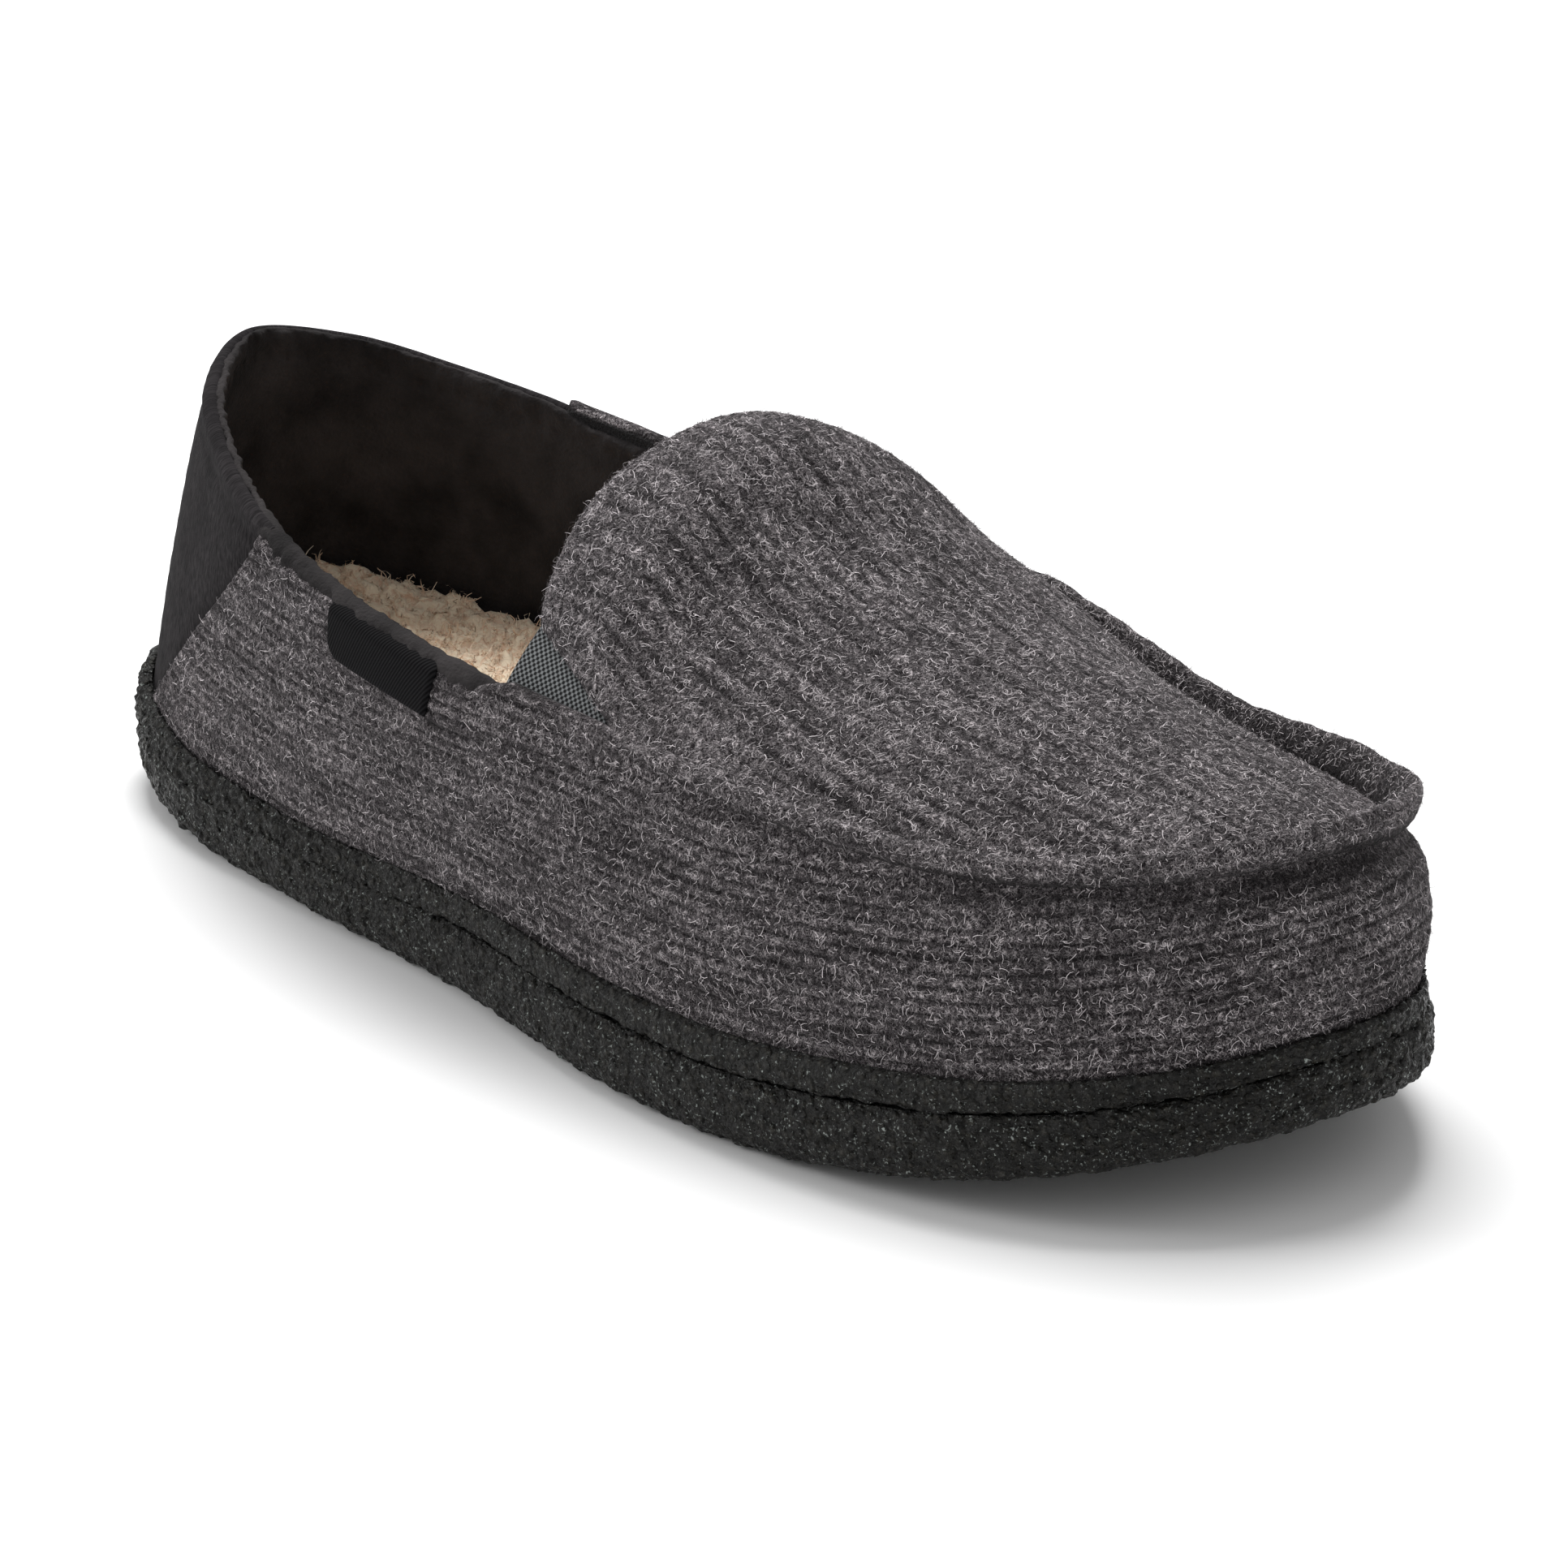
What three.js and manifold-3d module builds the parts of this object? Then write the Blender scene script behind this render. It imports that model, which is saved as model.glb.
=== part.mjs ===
import * as THREE from 'three';
import { mergeVertices } from 'three/addons/utils/BufferGeometryUtils.js';
import Module from 'manifold-3d';

const wasm = await Module();
wasm.setup();

// A right knitted slipper in millimetres: +X to the toe, +Y to the inner side of the foot, +Z up.
// The origin is on the floor, in the middle of the sole's length and width.

// Driving sizes of the sole
const shoeLength = 303;
const ballWidth = 112;
const soleHeight = 13.6;
const soleEdgeRound = 3.4;
const soleTopRound = 1.2;
const toeSpring = 16.5;
const heelSpring = 8;
const treadDepth = 1.8;
const treadWidth = 4;
const treadPitch = 15;
const treadBorder = 10;
const treadChevron = 6;

// Driving sizes of the rand, the strip of rubber round the foot of the upper
const randHeight = 5.9;
const randWall = 4;
const randTopInset = 1.5;

// Driving sizes of the upper
const quarterRise = 72;
const instepRise = 89;
const knitWall = 3.2;
const heelWall = 2.6;
const sideBulge = 2.4;
const tongueRoll = 1.8;
const seamThickness = 4;
const seamHeight = 8;
const seamSink = 2;
const seamLean = 0.45;

// Driving sizes of the small pieces and the footbed
const goreWall = 1.8;
const labelDrop = 11;
const labelFoldDrop = 5;
const labelWall = 0.9;
const insoleHeight = 16;
const insoleDish = 2.5;
const insoleRim = 13;

// Room left between two pieces that touch, wider where soft faces lie along each other
const clearance = 0.32;
const randClearance = 0.6;
const insoleClearance = 0.9;
const labelClearance = 0.6;
const goreClearance = 0.9;

// How finely the curved pieces are divided
const stepsPerPost = 4;
const stepsUpWall = 5;
const stepsOverPlug = 18;
const sidesOfSeam = 8;

// Posts round the shoe, from the back of the heel along the outer side to the toe and back along the
// inner side. Plan places are shares of the length and width, rise is a share of the quarter's rise,
// and bulge is a share of the side's bulge.
const posts = [
  { along: -0.5, across: -0.01, topAlong: -0.457, topAcross: 0.01, rise: 0.935, bulge: 0.3 },
  { along: -0.474, across: -0.225, topAlong: -0.42, topAcross: -0.15, rise: 0.922, bulge: 0.3 },
  { along: -0.388, across: -0.343, topAlong: -0.368, topAcross: -0.253, rise: 0.885, bulge: 0.5 },
  { along: -0.248, across: -0.402, topAlong: -0.257, topAcross: -0.37, rise: 0.8, bulge: 1 },
  { along: -0.085, across: -0.44, topAlong: -0.105, topAcross: -0.43, rise: 0.715, bulge: 1 },
  { along: 0.078, across: -0.513, topAlong: 0.078, topAcross: -0.415, rise: 0.725, bulge: 1 },
  { along: 0.211, across: -0.518, topAlong: 0.211, topAcross: -0.385, rise: 0.585, bulge: 1 },
  { along: 0.344, across: -0.443, topAlong: 0.333, topAcross: -0.3, rise: 0.525, bulge: 1.2 },
  { along: 0.443, across: -0.263, topAlong: 0.42, topAcross: -0.15, rise: 0.505, bulge: 1.5 },
  { along: 0.494, across: 0.056, topAlong: 0.457, topAcross: 0.08, rise: 0.485, bulge: 1.8 },
  { along: 0.462, across: 0.268, topAlong: 0.43, topAcross: 0.295, rise: 0.445, bulge: 1.8 },
  { along: 0.368, across: 0.43, topAlong: 0.35, topAcross: 0.41, rise: 0.455, bulge: 1.2 },
  { along: 0.23, across: 0.481, topAlong: 0.224, topAcross: 0.445, rise: 0.525, bulge: 1 },
  { along: 0.082, across: 0.424, topAlong: 0.079, topAcross: 0.43, rise: 0.735, bulge: 1 },
  { along: -0.083, across: 0.384, topAlong: -0.1, topAcross: 0.41, rise: 0.745, bulge: 1 },
  { along: -0.25, across: 0.357, topAlong: -0.25, topAcross: 0.38, rise: 0.81, bulge: 1 },
  { along: -0.394, across: 0.33, topAlong: -0.368, topAcross: 0.275, rise: 0.88, bulge: 0.5 },
  { along: -0.48, across: 0.212, topAlong: -0.425, topAcross: 0.165, rise: 0.915, bulge: 0.3 },
];

// Posts where pieces begin and end, counted along the table above
const lastPost = posts.length;
const heelJoint = { lateralTop: 2.82, lateralFoot: 1.25, medialTop: 15.33, medialFoot: 16.75 };
const jointBend = 1.25;
const quarterEnd = { lateral: 4.45, medial: 13.6 };
const goreTip = { lateral: 5, medial: 13 };
const goreStart = 0.32;
const toePost = 9;
const labelPosts = { back: 3.48, front: 4.12 };

// Corners of the tongue's free edge, and the line along the top of the foot that the vamp passes over.
// Rise is a share of the instep's rise, fullness bends the section from a round to a flat one.
const tongueCorner = {
  lateral: { along: -0.027, across: -0.34, rise: 0.66 },
  medial: { along: -0.027, across: 0.385, rise: 0.685 },
};
const crownPosts = [
  { along: -0.046, across: 0.042, rise: 0.948, fullness: 0.72 },
  { along: 0.017, across: 0.038, rise: 0.945, fullness: 0.8 },
  { along: 0.079, across: 0.048, rise: 0.79, fullness: 0.9 },
  { along: 0.198, across: 0.045, rise: 0.67, fullness: 0.98 },
  { along: 0.297, across: 0.055, rise: 0.575, fullness: 0.96 },
  { along: 0.376, across: 0.08, rise: 0.495, fullness: 0.95 },
];
const vampEnd = 5.93;

// Height of the raised seam round the vamp, a share of its full height at each post of the crown
const seamRise = [
  { post: 5, share: 0.25 },
  { post: 6, share: 0.45 },
  { post: 7, share: 0.56 },
  { post: 8, share: 0.72 },
  { post: 9, share: 0.9 },
  { post: 10, share: 1 },
  { post: 11, share: 0.85 },
  { post: 12, share: 0.6 },
  { post: 13, share: 0.25 },
];

// Thickness of the sole's side along the shoe, and how far the side and the rand stand in at each level
const sideShares = [
  { along: -0.5, share: 0.83 },
  { along: -0.25, share: 0.85 },
  { along: 0, share: 1 },
  { along: 0.25, share: 1 },
  { along: 0.5, share: 0.79 },
];
const soleLevels = [
  { level: 0, inset: soleEdgeRound },
  { level: 0.12, inset: soleEdgeRound * 0.35 },
  { level: 0.32, inset: 0 },
  { level: 0.88, inset: 0 },
  { level: 1, inset: soleTopRound },
];

const springStart = { toe: 0.15, heel: -0.33 };
const footInset = randWall + randClearance;

// Reads a value between the rows of a table, with a soft step from one row to the next
function readTable(rows, place, column, value) {
  const last = rows.length - 1;
  if (value <= rows[0][place]) {
    return rows[0][column];
  }
  for (let i = 0; i < last; i += 1) {
    const low = rows[i];
    const high = rows[i + 1];
    if (value <= high[place]) {
      const t = THREE.MathUtils.smoothstep(value, low[place], high[place]);
      return THREE.MathUtils.lerp(low[column], high[column], t);
    }
  }
  return rows[last][column];
}

// Height of the sole's underside above the floor: flat in the middle, lifted at toe and heel
function springAt(x) {
  const share = x / shoeLength;
  const toe = Math.max(0, (share - springStart.toe) / (0.5 - springStart.toe));
  const heel = Math.max(0, (springStart.heel - share) / (0.5 + springStart.heel));
  return toeSpring * toe ** 2 + heelSpring * heel ** 2;
}

function sideShareAt(x) {
  return readTable(sideShares, 'along', 'share', x / shoeLength);
}

function soleTopAt(x) {
  return springAt(x) + soleHeight * sideShareAt(x);
}

function closedCurve(points) {
  return new THREE.CatmullRomCurve3(points, true, 'centripetal');
}

// The sole's outline, stretched so that it fills the length and the width exactly
const rawOutline = closedCurve(posts.map((post) => new THREE.Vector3(post.along, post.across, 0)));
const rawBox = new THREE.Box3().setFromPoints(rawOutline.getPoints(posts.length * stepsPerPost));
const rawMiddle = rawBox.getCenter(new THREE.Vector3());
const rawSize = rawBox.getSize(new THREE.Vector3());

// Share of the way round the shoe at one post
function turnOf(post) {
  return THREE.MathUtils.euclideanModulo(post / lastPost, 1);
}

function outlineAt(post) {
  const point = rawOutline.getPoint(turnOf(post)).sub(rawMiddle);
  return new THREE.Vector3(point.x / rawSize.x * shoeLength, point.y / rawSize.y * ballWidth, 0);
}

// A place above the sole, from its shares of the length and width and its height over the outsole
function placeAbove(along, across, height) {
  const x = (along - rawMiddle.x) * shoeLength;
  return new THREE.Vector3(x, (across - rawMiddle.y) * ballWidth, soleTopAt(x) + height);
}

const topCurve = closedCurve(posts.map((post) => (
  placeAbove(post.topAlong, post.topAcross, post.rise * quarterRise)
)));

const bulgeCurve = closedCurve(posts.map((post) => new THREE.Vector3(post.bulge, post.bulge, 0)));

function topAt(post) {
  return topCurve.getPoint(turnOf(post));
}

// Flat direction that points out of a closed curve at one post
function outwardOf(curveAt, post) {
  const reach = 0.05;
  const run = curveAt(post + reach).sub(curveAt(post - reach));
  return new THREE.Vector3(run.y, -run.x, 0).normalize();
}

// A place on the edge of the sole, set in from the outline and lifted above the underside
function edgeAt(post, inset, lift) {
  const place = outlineAt(post).addScaledVector(outwardOf(outlineAt, post), -inset);
  return place.setZ(springAt(place.x) + lift(place.x));
}

// Swelling of the side from sole to top edge: 0 at both, 1 a little above the middle
function bulgeShape(climb) {
  const share = THREE.MathUtils.clamp(climb, 0, 1);
  const fullest = 0.6;
  const peak = fullest ** 1.5 * (1 - fullest);
  return share ** 1.5 * (1 - share) / peak;
}

// A place on the outer face of the upper's side: climb runs from 0 at the sole to 1 at the top edge,
// and stand is how far the place is moved out of the face
function wallAt(post, climb, stand) {
  const foot = edgeAt(post, footInset, (x) => soleHeight * sideShareAt(x) + clearance);
  const top = topAt(post);
  const bulge = sideBulge * bulgeCurve.getPoint(turnOf(post)).x * bulgeShape(climb);
  const outFoot = outwardOf(outlineAt, post);
  const outTop = outwardOf(topAt, post);
  const out = outFoot.lerp(outTop, THREE.MathUtils.clamp(climb, 0, 1)).normalize();
  return foot.lerp(top, climb).addScaledVector(out, bulge + stand);
}

function wallHeightAt(post) {
  return wallAt(post, 1, 0).z - wallAt(post, 0, 0).z;
}

// Joins equal rings of points into one closed solid. Open ends are closed by a strip across the ring,
// from each point to its partner on the other side.
function loft(rings, closed) {
  const count = rings[0].length;
  const points = rings.flat().flatMap((point) => [point.x, point.y, point.z]);
  const faces = [];
  const bands = closed ? rings.length : rings.length - 1;
  for (let i = 0; i < bands; i += 1) {
    const near = i * count;
    const far = ((i + 1) % rings.length) * count;
    for (let j = 0; j < count; j += 1) {
      const next = (j + 1) % count;
      faces.push(near + j, near + next, far + next);
      faces.push(near + j, far + next, far + j);
    }
  }
  if (!closed) {
    const far = (rings.length - 1) * count;
    for (let j = 0; j < count / 2 - 1; j += 1) {
      const partner = count - 1 - j;
      faces.push(j, partner, j + 1, j + 1, partner, partner - 1);
      faces.push(far + j, far + j + 1, far + partner, far + j + 1, far + partner - 1, far + partner);
    }
  }
  const geometry = new THREE.BufferGeometry();
  geometry.setAttribute('position', new THREE.Float32BufferAttribute(points, 3));
  geometry.setIndex(faces);
  return faceOutward(geometry);
}

// Turns every face over where the solid would be inside out
function faceOutward(geometry) {
  const place = geometry.getAttribute('position');
  const index = geometry.getIndex();
  const corners = [new THREE.Vector3(), new THREE.Vector3(), new THREE.Vector3()];
  let volume = 0;
  for (let i = 0; i < index.count; i += 3) {
    corners.forEach((corner, side) => corner.fromBufferAttribute(place, index.getX(i + side)));
    volume += corners[0].dot(corners[1].clone().cross(corners[2]));
  }
  if (volume < 0) {
    const turned = Array.from(index.array);
    for (let i = 0; i < turned.length; i += 3) {
      [turned[i], turned[i + 1]] = [turned[i + 1], turned[i]];
    }
    geometry.setIndex(turned);
  }
  return geometry;
}

function toSolid(geometry) {
  const bare = geometry.clone();
  bare.deleteAttribute('normal');
  bare.deleteAttribute('uv');
  const merged = mergeVertices(bare, 1e-4);
  const vertProperties = new Float32Array(merged.getAttribute('position').array);
  const triVerts = new Uint32Array(merged.getIndex().array);
  return new wasm.Manifold(new wasm.Mesh({ numProp: 3, vertProperties, triVerts }));
}

function toGeometry(solid) {
  const mesh = solid.getMesh();
  const geometry = new THREE.BufferGeometry();
  geometry.setAttribute('position', new THREE.Float32BufferAttribute(mesh.vertProperties, 3));
  geometry.setIndex(Array.from(mesh.triVerts));
  return geometry;
}

function steps(from, to, count) {
  return Array.from({ length: count + 1 }, (_, i) => THREE.MathUtils.lerp(from, to, i / count));
}

const roundTheShoe = steps(0, lastPost, lastPost * stepsPerPost).slice(0, -1);

// Outsole: one moulded slab with a rounded lower edge and chevron grooves in its underside
function makeOutsole() {
  const rings = soleLevels.map(({ level, inset }) => roundTheShoe.map((post) => (
    edgeAt(post, inset, (x) => level * soleHeight * sideShareAt(x))
  )));
  const grooves = makeTread();
  return toGeometry(grooves.reduce((sole, groove) => sole.subtract(groove), toSolid(loft(rings, false))));
}

// Half the width of the sole at one place along it, on the outer or the inner side
function soleReach(x, side) {
  const from = side < 0 ? 0 : toePost;
  const places = steps(from, from + lastPost / 2, lastPost * stepsPerPost).map(outlineAt);
  const nearest = places.reduce((best, place) => (
    Math.abs(place.x - x) < Math.abs(best.x - x) ? place : best
  ));
  return Math.abs(nearest.y);
}

function makeTread() {
  const fields = [
    { from: -0.4, to: -0.2 },
    { from: -0.03, to: 0.34 },
  ];
  return fields.flatMap(({ from, to }) => {
    const count = Math.round((to - from) * shoeLength / treadPitch);
    return steps(from * shoeLength, to * shoeLength, count).map((x) => {
      const inner = soleReach(x, 1) - treadBorder;
      const outer = treadBorder - soleReach(x, -1);
      const groove = new THREE.Shape([
        new THREE.Vector2(x, outer),
        new THREE.Vector2(x + treadWidth, outer),
        new THREE.Vector2(x + treadWidth + treadChevron, (inner + outer) / 2),
        new THREE.Vector2(x + treadWidth, inner),
        new THREE.Vector2(x, inner),
        new THREE.Vector2(x + treadChevron, (inner + outer) / 2),
      ]);
      const top = springAt(x + treadWidth / 2) + treadDepth;
      const cut = new THREE.ExtrudeGeometry(groove, { depth: top + treadWidth, bevelEnabled: false });
      return toSolid(cut.translate(0, 0, -treadWidth));
    });
  });
}

// Rand: a strip of the same rubber that stands on the outsole and hugs the foot of the upper
function makeRand() {
  const rings = roundTheShoe.map((post) => {
    const base = (x) => soleHeight * sideShareAt(x) + clearance;
    const above = (share) => (x) => base(x) + share * randHeight * sideShareAt(x);
    const tall = randHeight * sideShareAt(outlineAt(post).x) / wallHeightAt(post);
    return [
      edgeAt(post, soleTopRound, above(0)),
      edgeAt(post, soleTopRound / 2, above(0.3)),
      edgeAt(post, soleTopRound / 2, above(0.7)),
      edgeAt(post, randTopInset, above(1)),
      wallAt(post, tall, randClearance),
      wallAt(post, tall / 2, randClearance),
      wallAt(post, 0, randClearance),
    ];
  });
  return loft(rings, true);
}

// Section up a side wall of one thickness: the outer face upward, then the inner face downward
function wallSection(postAt, wall) {
  const climbs = steps(0, 1, stepsUpWall);
  const outer = climbs.map((climb) => wallAt(postAt(climb), climb, 0));
  const inner = climbs.map((climb) => wallAt(postAt(climb), climb, -wall)).reverse();
  return [...outer, ...inner];
}

// Post on a slanted joint at one height, moved along the wall by a distance
function jointPost(top, foot, climb, move) {
  const post = THREE.MathUtils.lerp(top, foot, (1 - climb) ** jointBend);
  const reach = 0.05;
  const speed = wallAt(post + reach, climb, 0).distanceTo(wallAt(post - reach, climb, 0)) / (2 * reach);
  return post + move / speed;
}

function makeSideWall() {
  const half = clearance / 2;
  const rings = steps(0, 1, 13 * stepsPerPost).map((share) => wallSection((climb) => {
    const start = jointPost(heelJoint.lateralTop, heelJoint.lateralFoot, climb, half);
    const end = jointPost(heelJoint.medialTop, heelJoint.medialFoot, climb, -half);
    return THREE.MathUtils.lerp(start, end, share);
  }, knitWall));
  return loft(rings, false);
}

// Heel panel: the back of the upper, between the slanted ends of the knitted side wall
function makeHeelPanel() {
  const half = clearance / 2;
  const rings = steps(0, 1, 5 * stepsPerPost).map((share) => wallSection((climb) => {
    const start = jointPost(heelJoint.medialTop, heelJoint.medialFoot, climb, half) - lastPost;
    const end = jointPost(heelJoint.lateralTop, heelJoint.lateralFoot, climb, -half);
    return THREE.MathUtils.lerp(start, end, share);
  }, heelWall));
  return loft(rings, false);
}

// Vamp, the knitted piece over the foot with the tongue at its back. Row 0 is the tongue's free edge,
// row 2 the tips of the gores, and the last row the toe.
const crownCurve = new THREE.CatmullRomCurve3([
  ...crownPosts.map((post) => placeAbove(post.along, post.across, post.rise * instepRise)),
  topAt(toePost),
], false, 'centripetal');
const crownRows = crownPosts.map((post, row) => ({ row, fullness: post.fullness }));

// Edge of the vamp at one row: along the gore down to its tip, then along the top of the side wall
function vampEdgeAt(row, side) {
  const { along, across, rise } = tongueCorner[side];
  const corner = placeAbove(along, across, rise * instepRise);
  const tip = goreTip[side];
  if (row >= 2) {
    return topAt(tip + (toePost - tip) * (row - 2) / (crownPosts.length - 2));
  }
  return corner.lerp(topAt(tip), row / 2);
}

function vampAt(row, across) {
  const lateral = vampEdgeAt(row, 'lateral');
  const medial = vampEdgeAt(row, 'medial');
  const crown = crownCurve.getPoint(row / crownPosts.length);
  const lift = crown.sub(lateral.clone().lerp(medial, 0.5));
  const fullness = readTable(crownRows, 'row', 'fullness', row);
  return lateral.lerp(medial, (across + 1) / 2).addScaledVector(lift, (1 - across ** 2) ** fullness);
}

// Outward direction of the vamp's face
function vampOut(row, across) {
  const reach = 0.04;
  const side = THREE.MathUtils.clamp(across, reach - 1, 1 - reach);
  const back = THREE.MathUtils.clamp(row, reach, vampEnd - reach);
  const forward = vampAt(back + reach, side).sub(vampAt(back - reach, side));
  const over = vampAt(back, side + reach).sub(vampAt(back, side - reach));
  return forward.cross(over).normalize();
}

function vampWallAt(row) {
  return knitWall + tongueRoll * THREE.MathUtils.clamp(1 - row * 2, 0, 1);
}

function makeVamp() {
  const places = steps(-Math.PI / 2, Math.PI / 2, stepsOverPlug).map(Math.sin);
  const rings = steps(0, vampEnd, 20).map((row) => {
    const outer = places.map((across) => vampAt(row, across));
    const inner = places.map((across) => (
      vampAt(row, across).addScaledVector(vampOut(row, across), -vampWallAt(row))
    ));
    return [...outer, ...inner.reverse()];
  });
  return loft(rings, false);
}

// Raised seam: the pinched edges of vamp and side wall, standing up and out along the joint
function makeSeam() {
  const rings = steps(goreTip.lateral, goreTip.medial, 9 * stepsPerPost).map((post) => {
    const out = outwardOf(topAt, post);
    const lean = out.clone().multiplyScalar(seamLean).setZ(1).normalize();
    const middle = topAt(post).addScaledVector(out, -seamThickness / 3);
    const tall = seamHeight * readTable(seamRise, 'post', 'share', post);
    const centre = middle.addScaledVector(lean, (tall - seamSink) / 2);
    return steps(0, 2 * Math.PI, sidesOfSeam).slice(0, -1).map((angle) => (
      centre.clone()
        .addScaledVector(lean, Math.sin(angle) * (tall + seamSink) / 2)
        .addScaledVector(out, Math.cos(angle) * seamThickness / 2)
    ));
  });
  return loft(rings, false);
}

// Upper: side wall, vamp and raised seam are one knitted shell
function makeUpper() {
  return toGeometry(toSolid(makeSideWall()).add(toSolid(makeVamp())).add(toSolid(makeSeam())));
}

// Gore: the wedge of elastic webbing between the end of the quarter and the side of the tongue
function makeGore(side) {
  const tip = goreTip[side];
  const rings = steps(goreStart, 1, 6).map((share) => {
    const post = THREE.MathUtils.lerp(tip, quarterEnd[side], share);
    const low = topAt(post);
    const row = 2 * (1 - share);
    const edge = side === 'lateral' ? -1 : 1;
    const high = vampAt(row, edge);
    const span = high.clone().sub(low).normalize();
    low.addScaledVector(span, goreClearance);
    high.addScaledVector(span, -goreClearance);
    const lowOut = outwardOf(topAt, post);
    const highOut = vampOut(row, edge);
    return [
      low,
      high,
      high.clone().addScaledVector(highOut, -goreWall),
      low.clone().addScaledVector(lowOut, -goreWall),
    ];
  });
  return loft(rings, false);
}

// Label: a blank woven ribbon folded over the top edge of the outer quarter
function makeLabel() {
  const rings = steps(labelPosts.back, labelPosts.front, 5).map((post) => {
    const climb = (distance) => 1 + distance / wallHeightAt(post);
    const inside = -knitWall - labelClearance;
    const outside = labelClearance;
    return [
      wallAt(post, climb(-labelDrop), outside),
      wallAt(post, climb(labelClearance), outside),
      wallAt(post, climb(labelClearance), inside),
      wallAt(post, climb(-labelFoldDrop), inside),
      wallAt(post, climb(-labelFoldDrop), inside - labelWall),
      wallAt(post, climb(labelClearance + labelWall), inside - labelWall),
      wallAt(post, climb(labelClearance + labelWall), outside + labelWall),
      wallAt(post, climb(-labelDrop), outside + labelWall),
    ];
  });
  return loft(rings, false);
}

// Insole: a padded footbed that fills the inside from wall to wall, dished under the foot
function makeInsole() {
  const side = -knitWall - insoleClearance;
  const ringAt = (share, stand, drop) => roundTheShoe.map((post) => {
    const height = insoleHeight * share;
    return wallAt(post, height / wallHeightAt(post), stand).add(new THREE.Vector3(0, 0, -drop));
  });
  const rings = [
    ringAt(0, side, 0),
    ringAt(0.4, side, 0),
    ringAt(0.8, side, 0),
    ringAt(1, side - 2, 0),
    ringAt(1, side - insoleRim, insoleDish),
  ];
  return loft(rings, false);
}

function cloth(color, roughness) {
  return new THREE.MeshStandardMaterial({ color, roughness, metalness: 0 });
}

const rubber = cloth(0x262623, 0.72);
const knit = cloth(0x4b484c, 0.95);
const suede = cloth(0x222026, 0.9);
const pile = cloth(0xd7bea0, 1);
const webbing = cloth(0x64696c, 0.8);
const ribbon = cloth(0x141315, 0.7);

const pieces = [
  { name: 'outsole', geometry: makeOutsole(), material: rubber },
  { name: 'rand', geometry: makeRand(), material: rubber },
  { name: 'upper', geometry: makeUpper(), material: knit },
  { name: 'heel_panel', geometry: makeHeelPanel(), material: suede },
  { name: 'gore_lateral', geometry: makeGore('lateral'), material: webbing },
  { name: 'gore_medial', geometry: makeGore('medial'), material: webbing },
  { name: 'insole', geometry: makeInsole(), material: pile },
  { name: 'label', geometry: makeLabel(), material: ribbon },
];

const slipper = new THREE.Group();
for (const { name, geometry, material } of pieces) {
  const mesh = new THREE.Mesh(geometry, material);
  mesh.name = name;
  slipper.add(mesh);
}

export default slipper;
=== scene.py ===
import math

import bpy
import numpy as np
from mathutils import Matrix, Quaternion, Vector, noise


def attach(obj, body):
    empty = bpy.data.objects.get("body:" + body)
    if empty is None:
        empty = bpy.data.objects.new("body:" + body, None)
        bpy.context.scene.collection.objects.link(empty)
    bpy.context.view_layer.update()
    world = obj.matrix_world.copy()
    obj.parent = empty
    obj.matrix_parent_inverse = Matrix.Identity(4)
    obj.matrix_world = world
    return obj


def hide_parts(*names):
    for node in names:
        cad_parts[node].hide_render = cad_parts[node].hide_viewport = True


# A right knitted slipper. Sizes are in millimetres: +X to the toe, +Y to the inner side, +Z up.
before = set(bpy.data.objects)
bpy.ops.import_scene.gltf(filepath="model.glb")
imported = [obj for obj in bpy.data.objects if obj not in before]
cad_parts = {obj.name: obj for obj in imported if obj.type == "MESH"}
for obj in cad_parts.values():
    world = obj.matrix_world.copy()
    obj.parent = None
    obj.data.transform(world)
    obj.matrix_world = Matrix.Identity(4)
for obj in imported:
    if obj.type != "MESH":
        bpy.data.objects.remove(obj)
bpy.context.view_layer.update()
millimetre = 0.001

# Outsole
# One moulded slab of crumb rubber, lifted at toe and heel. The side is a rough skin of small crumbs
# pressed together in the mould, a little loose along the lower edge.
shoe_length = 303
ball_width = 112
sole_height = 13.6
sole_edge_round = 3.4
sole_top_round = 1.2
skin_levels = (0, 0.12, 0.32, 0.86, 1)
skin_insets = (sole_edge_round, 1.25, 0.1, 0, sole_top_round)
skin_steps = 1350
core_inset = 5
toe_spring = 16.5
heel_spring = 8
spring_start = {"toe": 0.15, "heel": -0.33}
side_places = (-0.5, -0.25, 0, 0.25, 0.5)
side_shares = (0.83, 0.85, 1, 1, 0.79)
outline_posts = np.array([
    (-0.5, -0.01), (-0.474, -0.225), (-0.388, -0.343), (-0.248, -0.402), (-0.085, -0.44), (0.078, -0.513),
    (0.211, -0.518), (0.344, -0.443), (0.443, -0.263), (0.494, 0.056), (0.462, 0.268), (0.368, 0.43),
    (0.23, 0.481), (0.082, 0.424), (-0.083, 0.384), (-0.25, 0.357), (-0.394, 0.33), (-0.48, 0.212),
])
last_post = len(outline_posts)
pebble_size = 1.9
pebble_depth = 1.0
pebble_stretch = (0.6, 0.6, 1)
pit_size = 3.4
pit_depth = 0.35
grit_size = 0.9
grit_depth = 0.35
skin_stand = 0.1
toe_fullness = 1.1
toe_bulge_post = 10.3
toe_bulge_reach = 1.7
heel_reach = 3.2
heel_fade = 0.9
rubber_dark = (0.004, 0.0038, 0.0033, 1)
rubber_light = (0.043, 0.04, 0.033, 1)
# Light colour of the painted glints: specks that stand in for highlights on the rubber's grains.
rubber_painted_glint = (0.32, 0.35, 0.33, 1)


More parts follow.
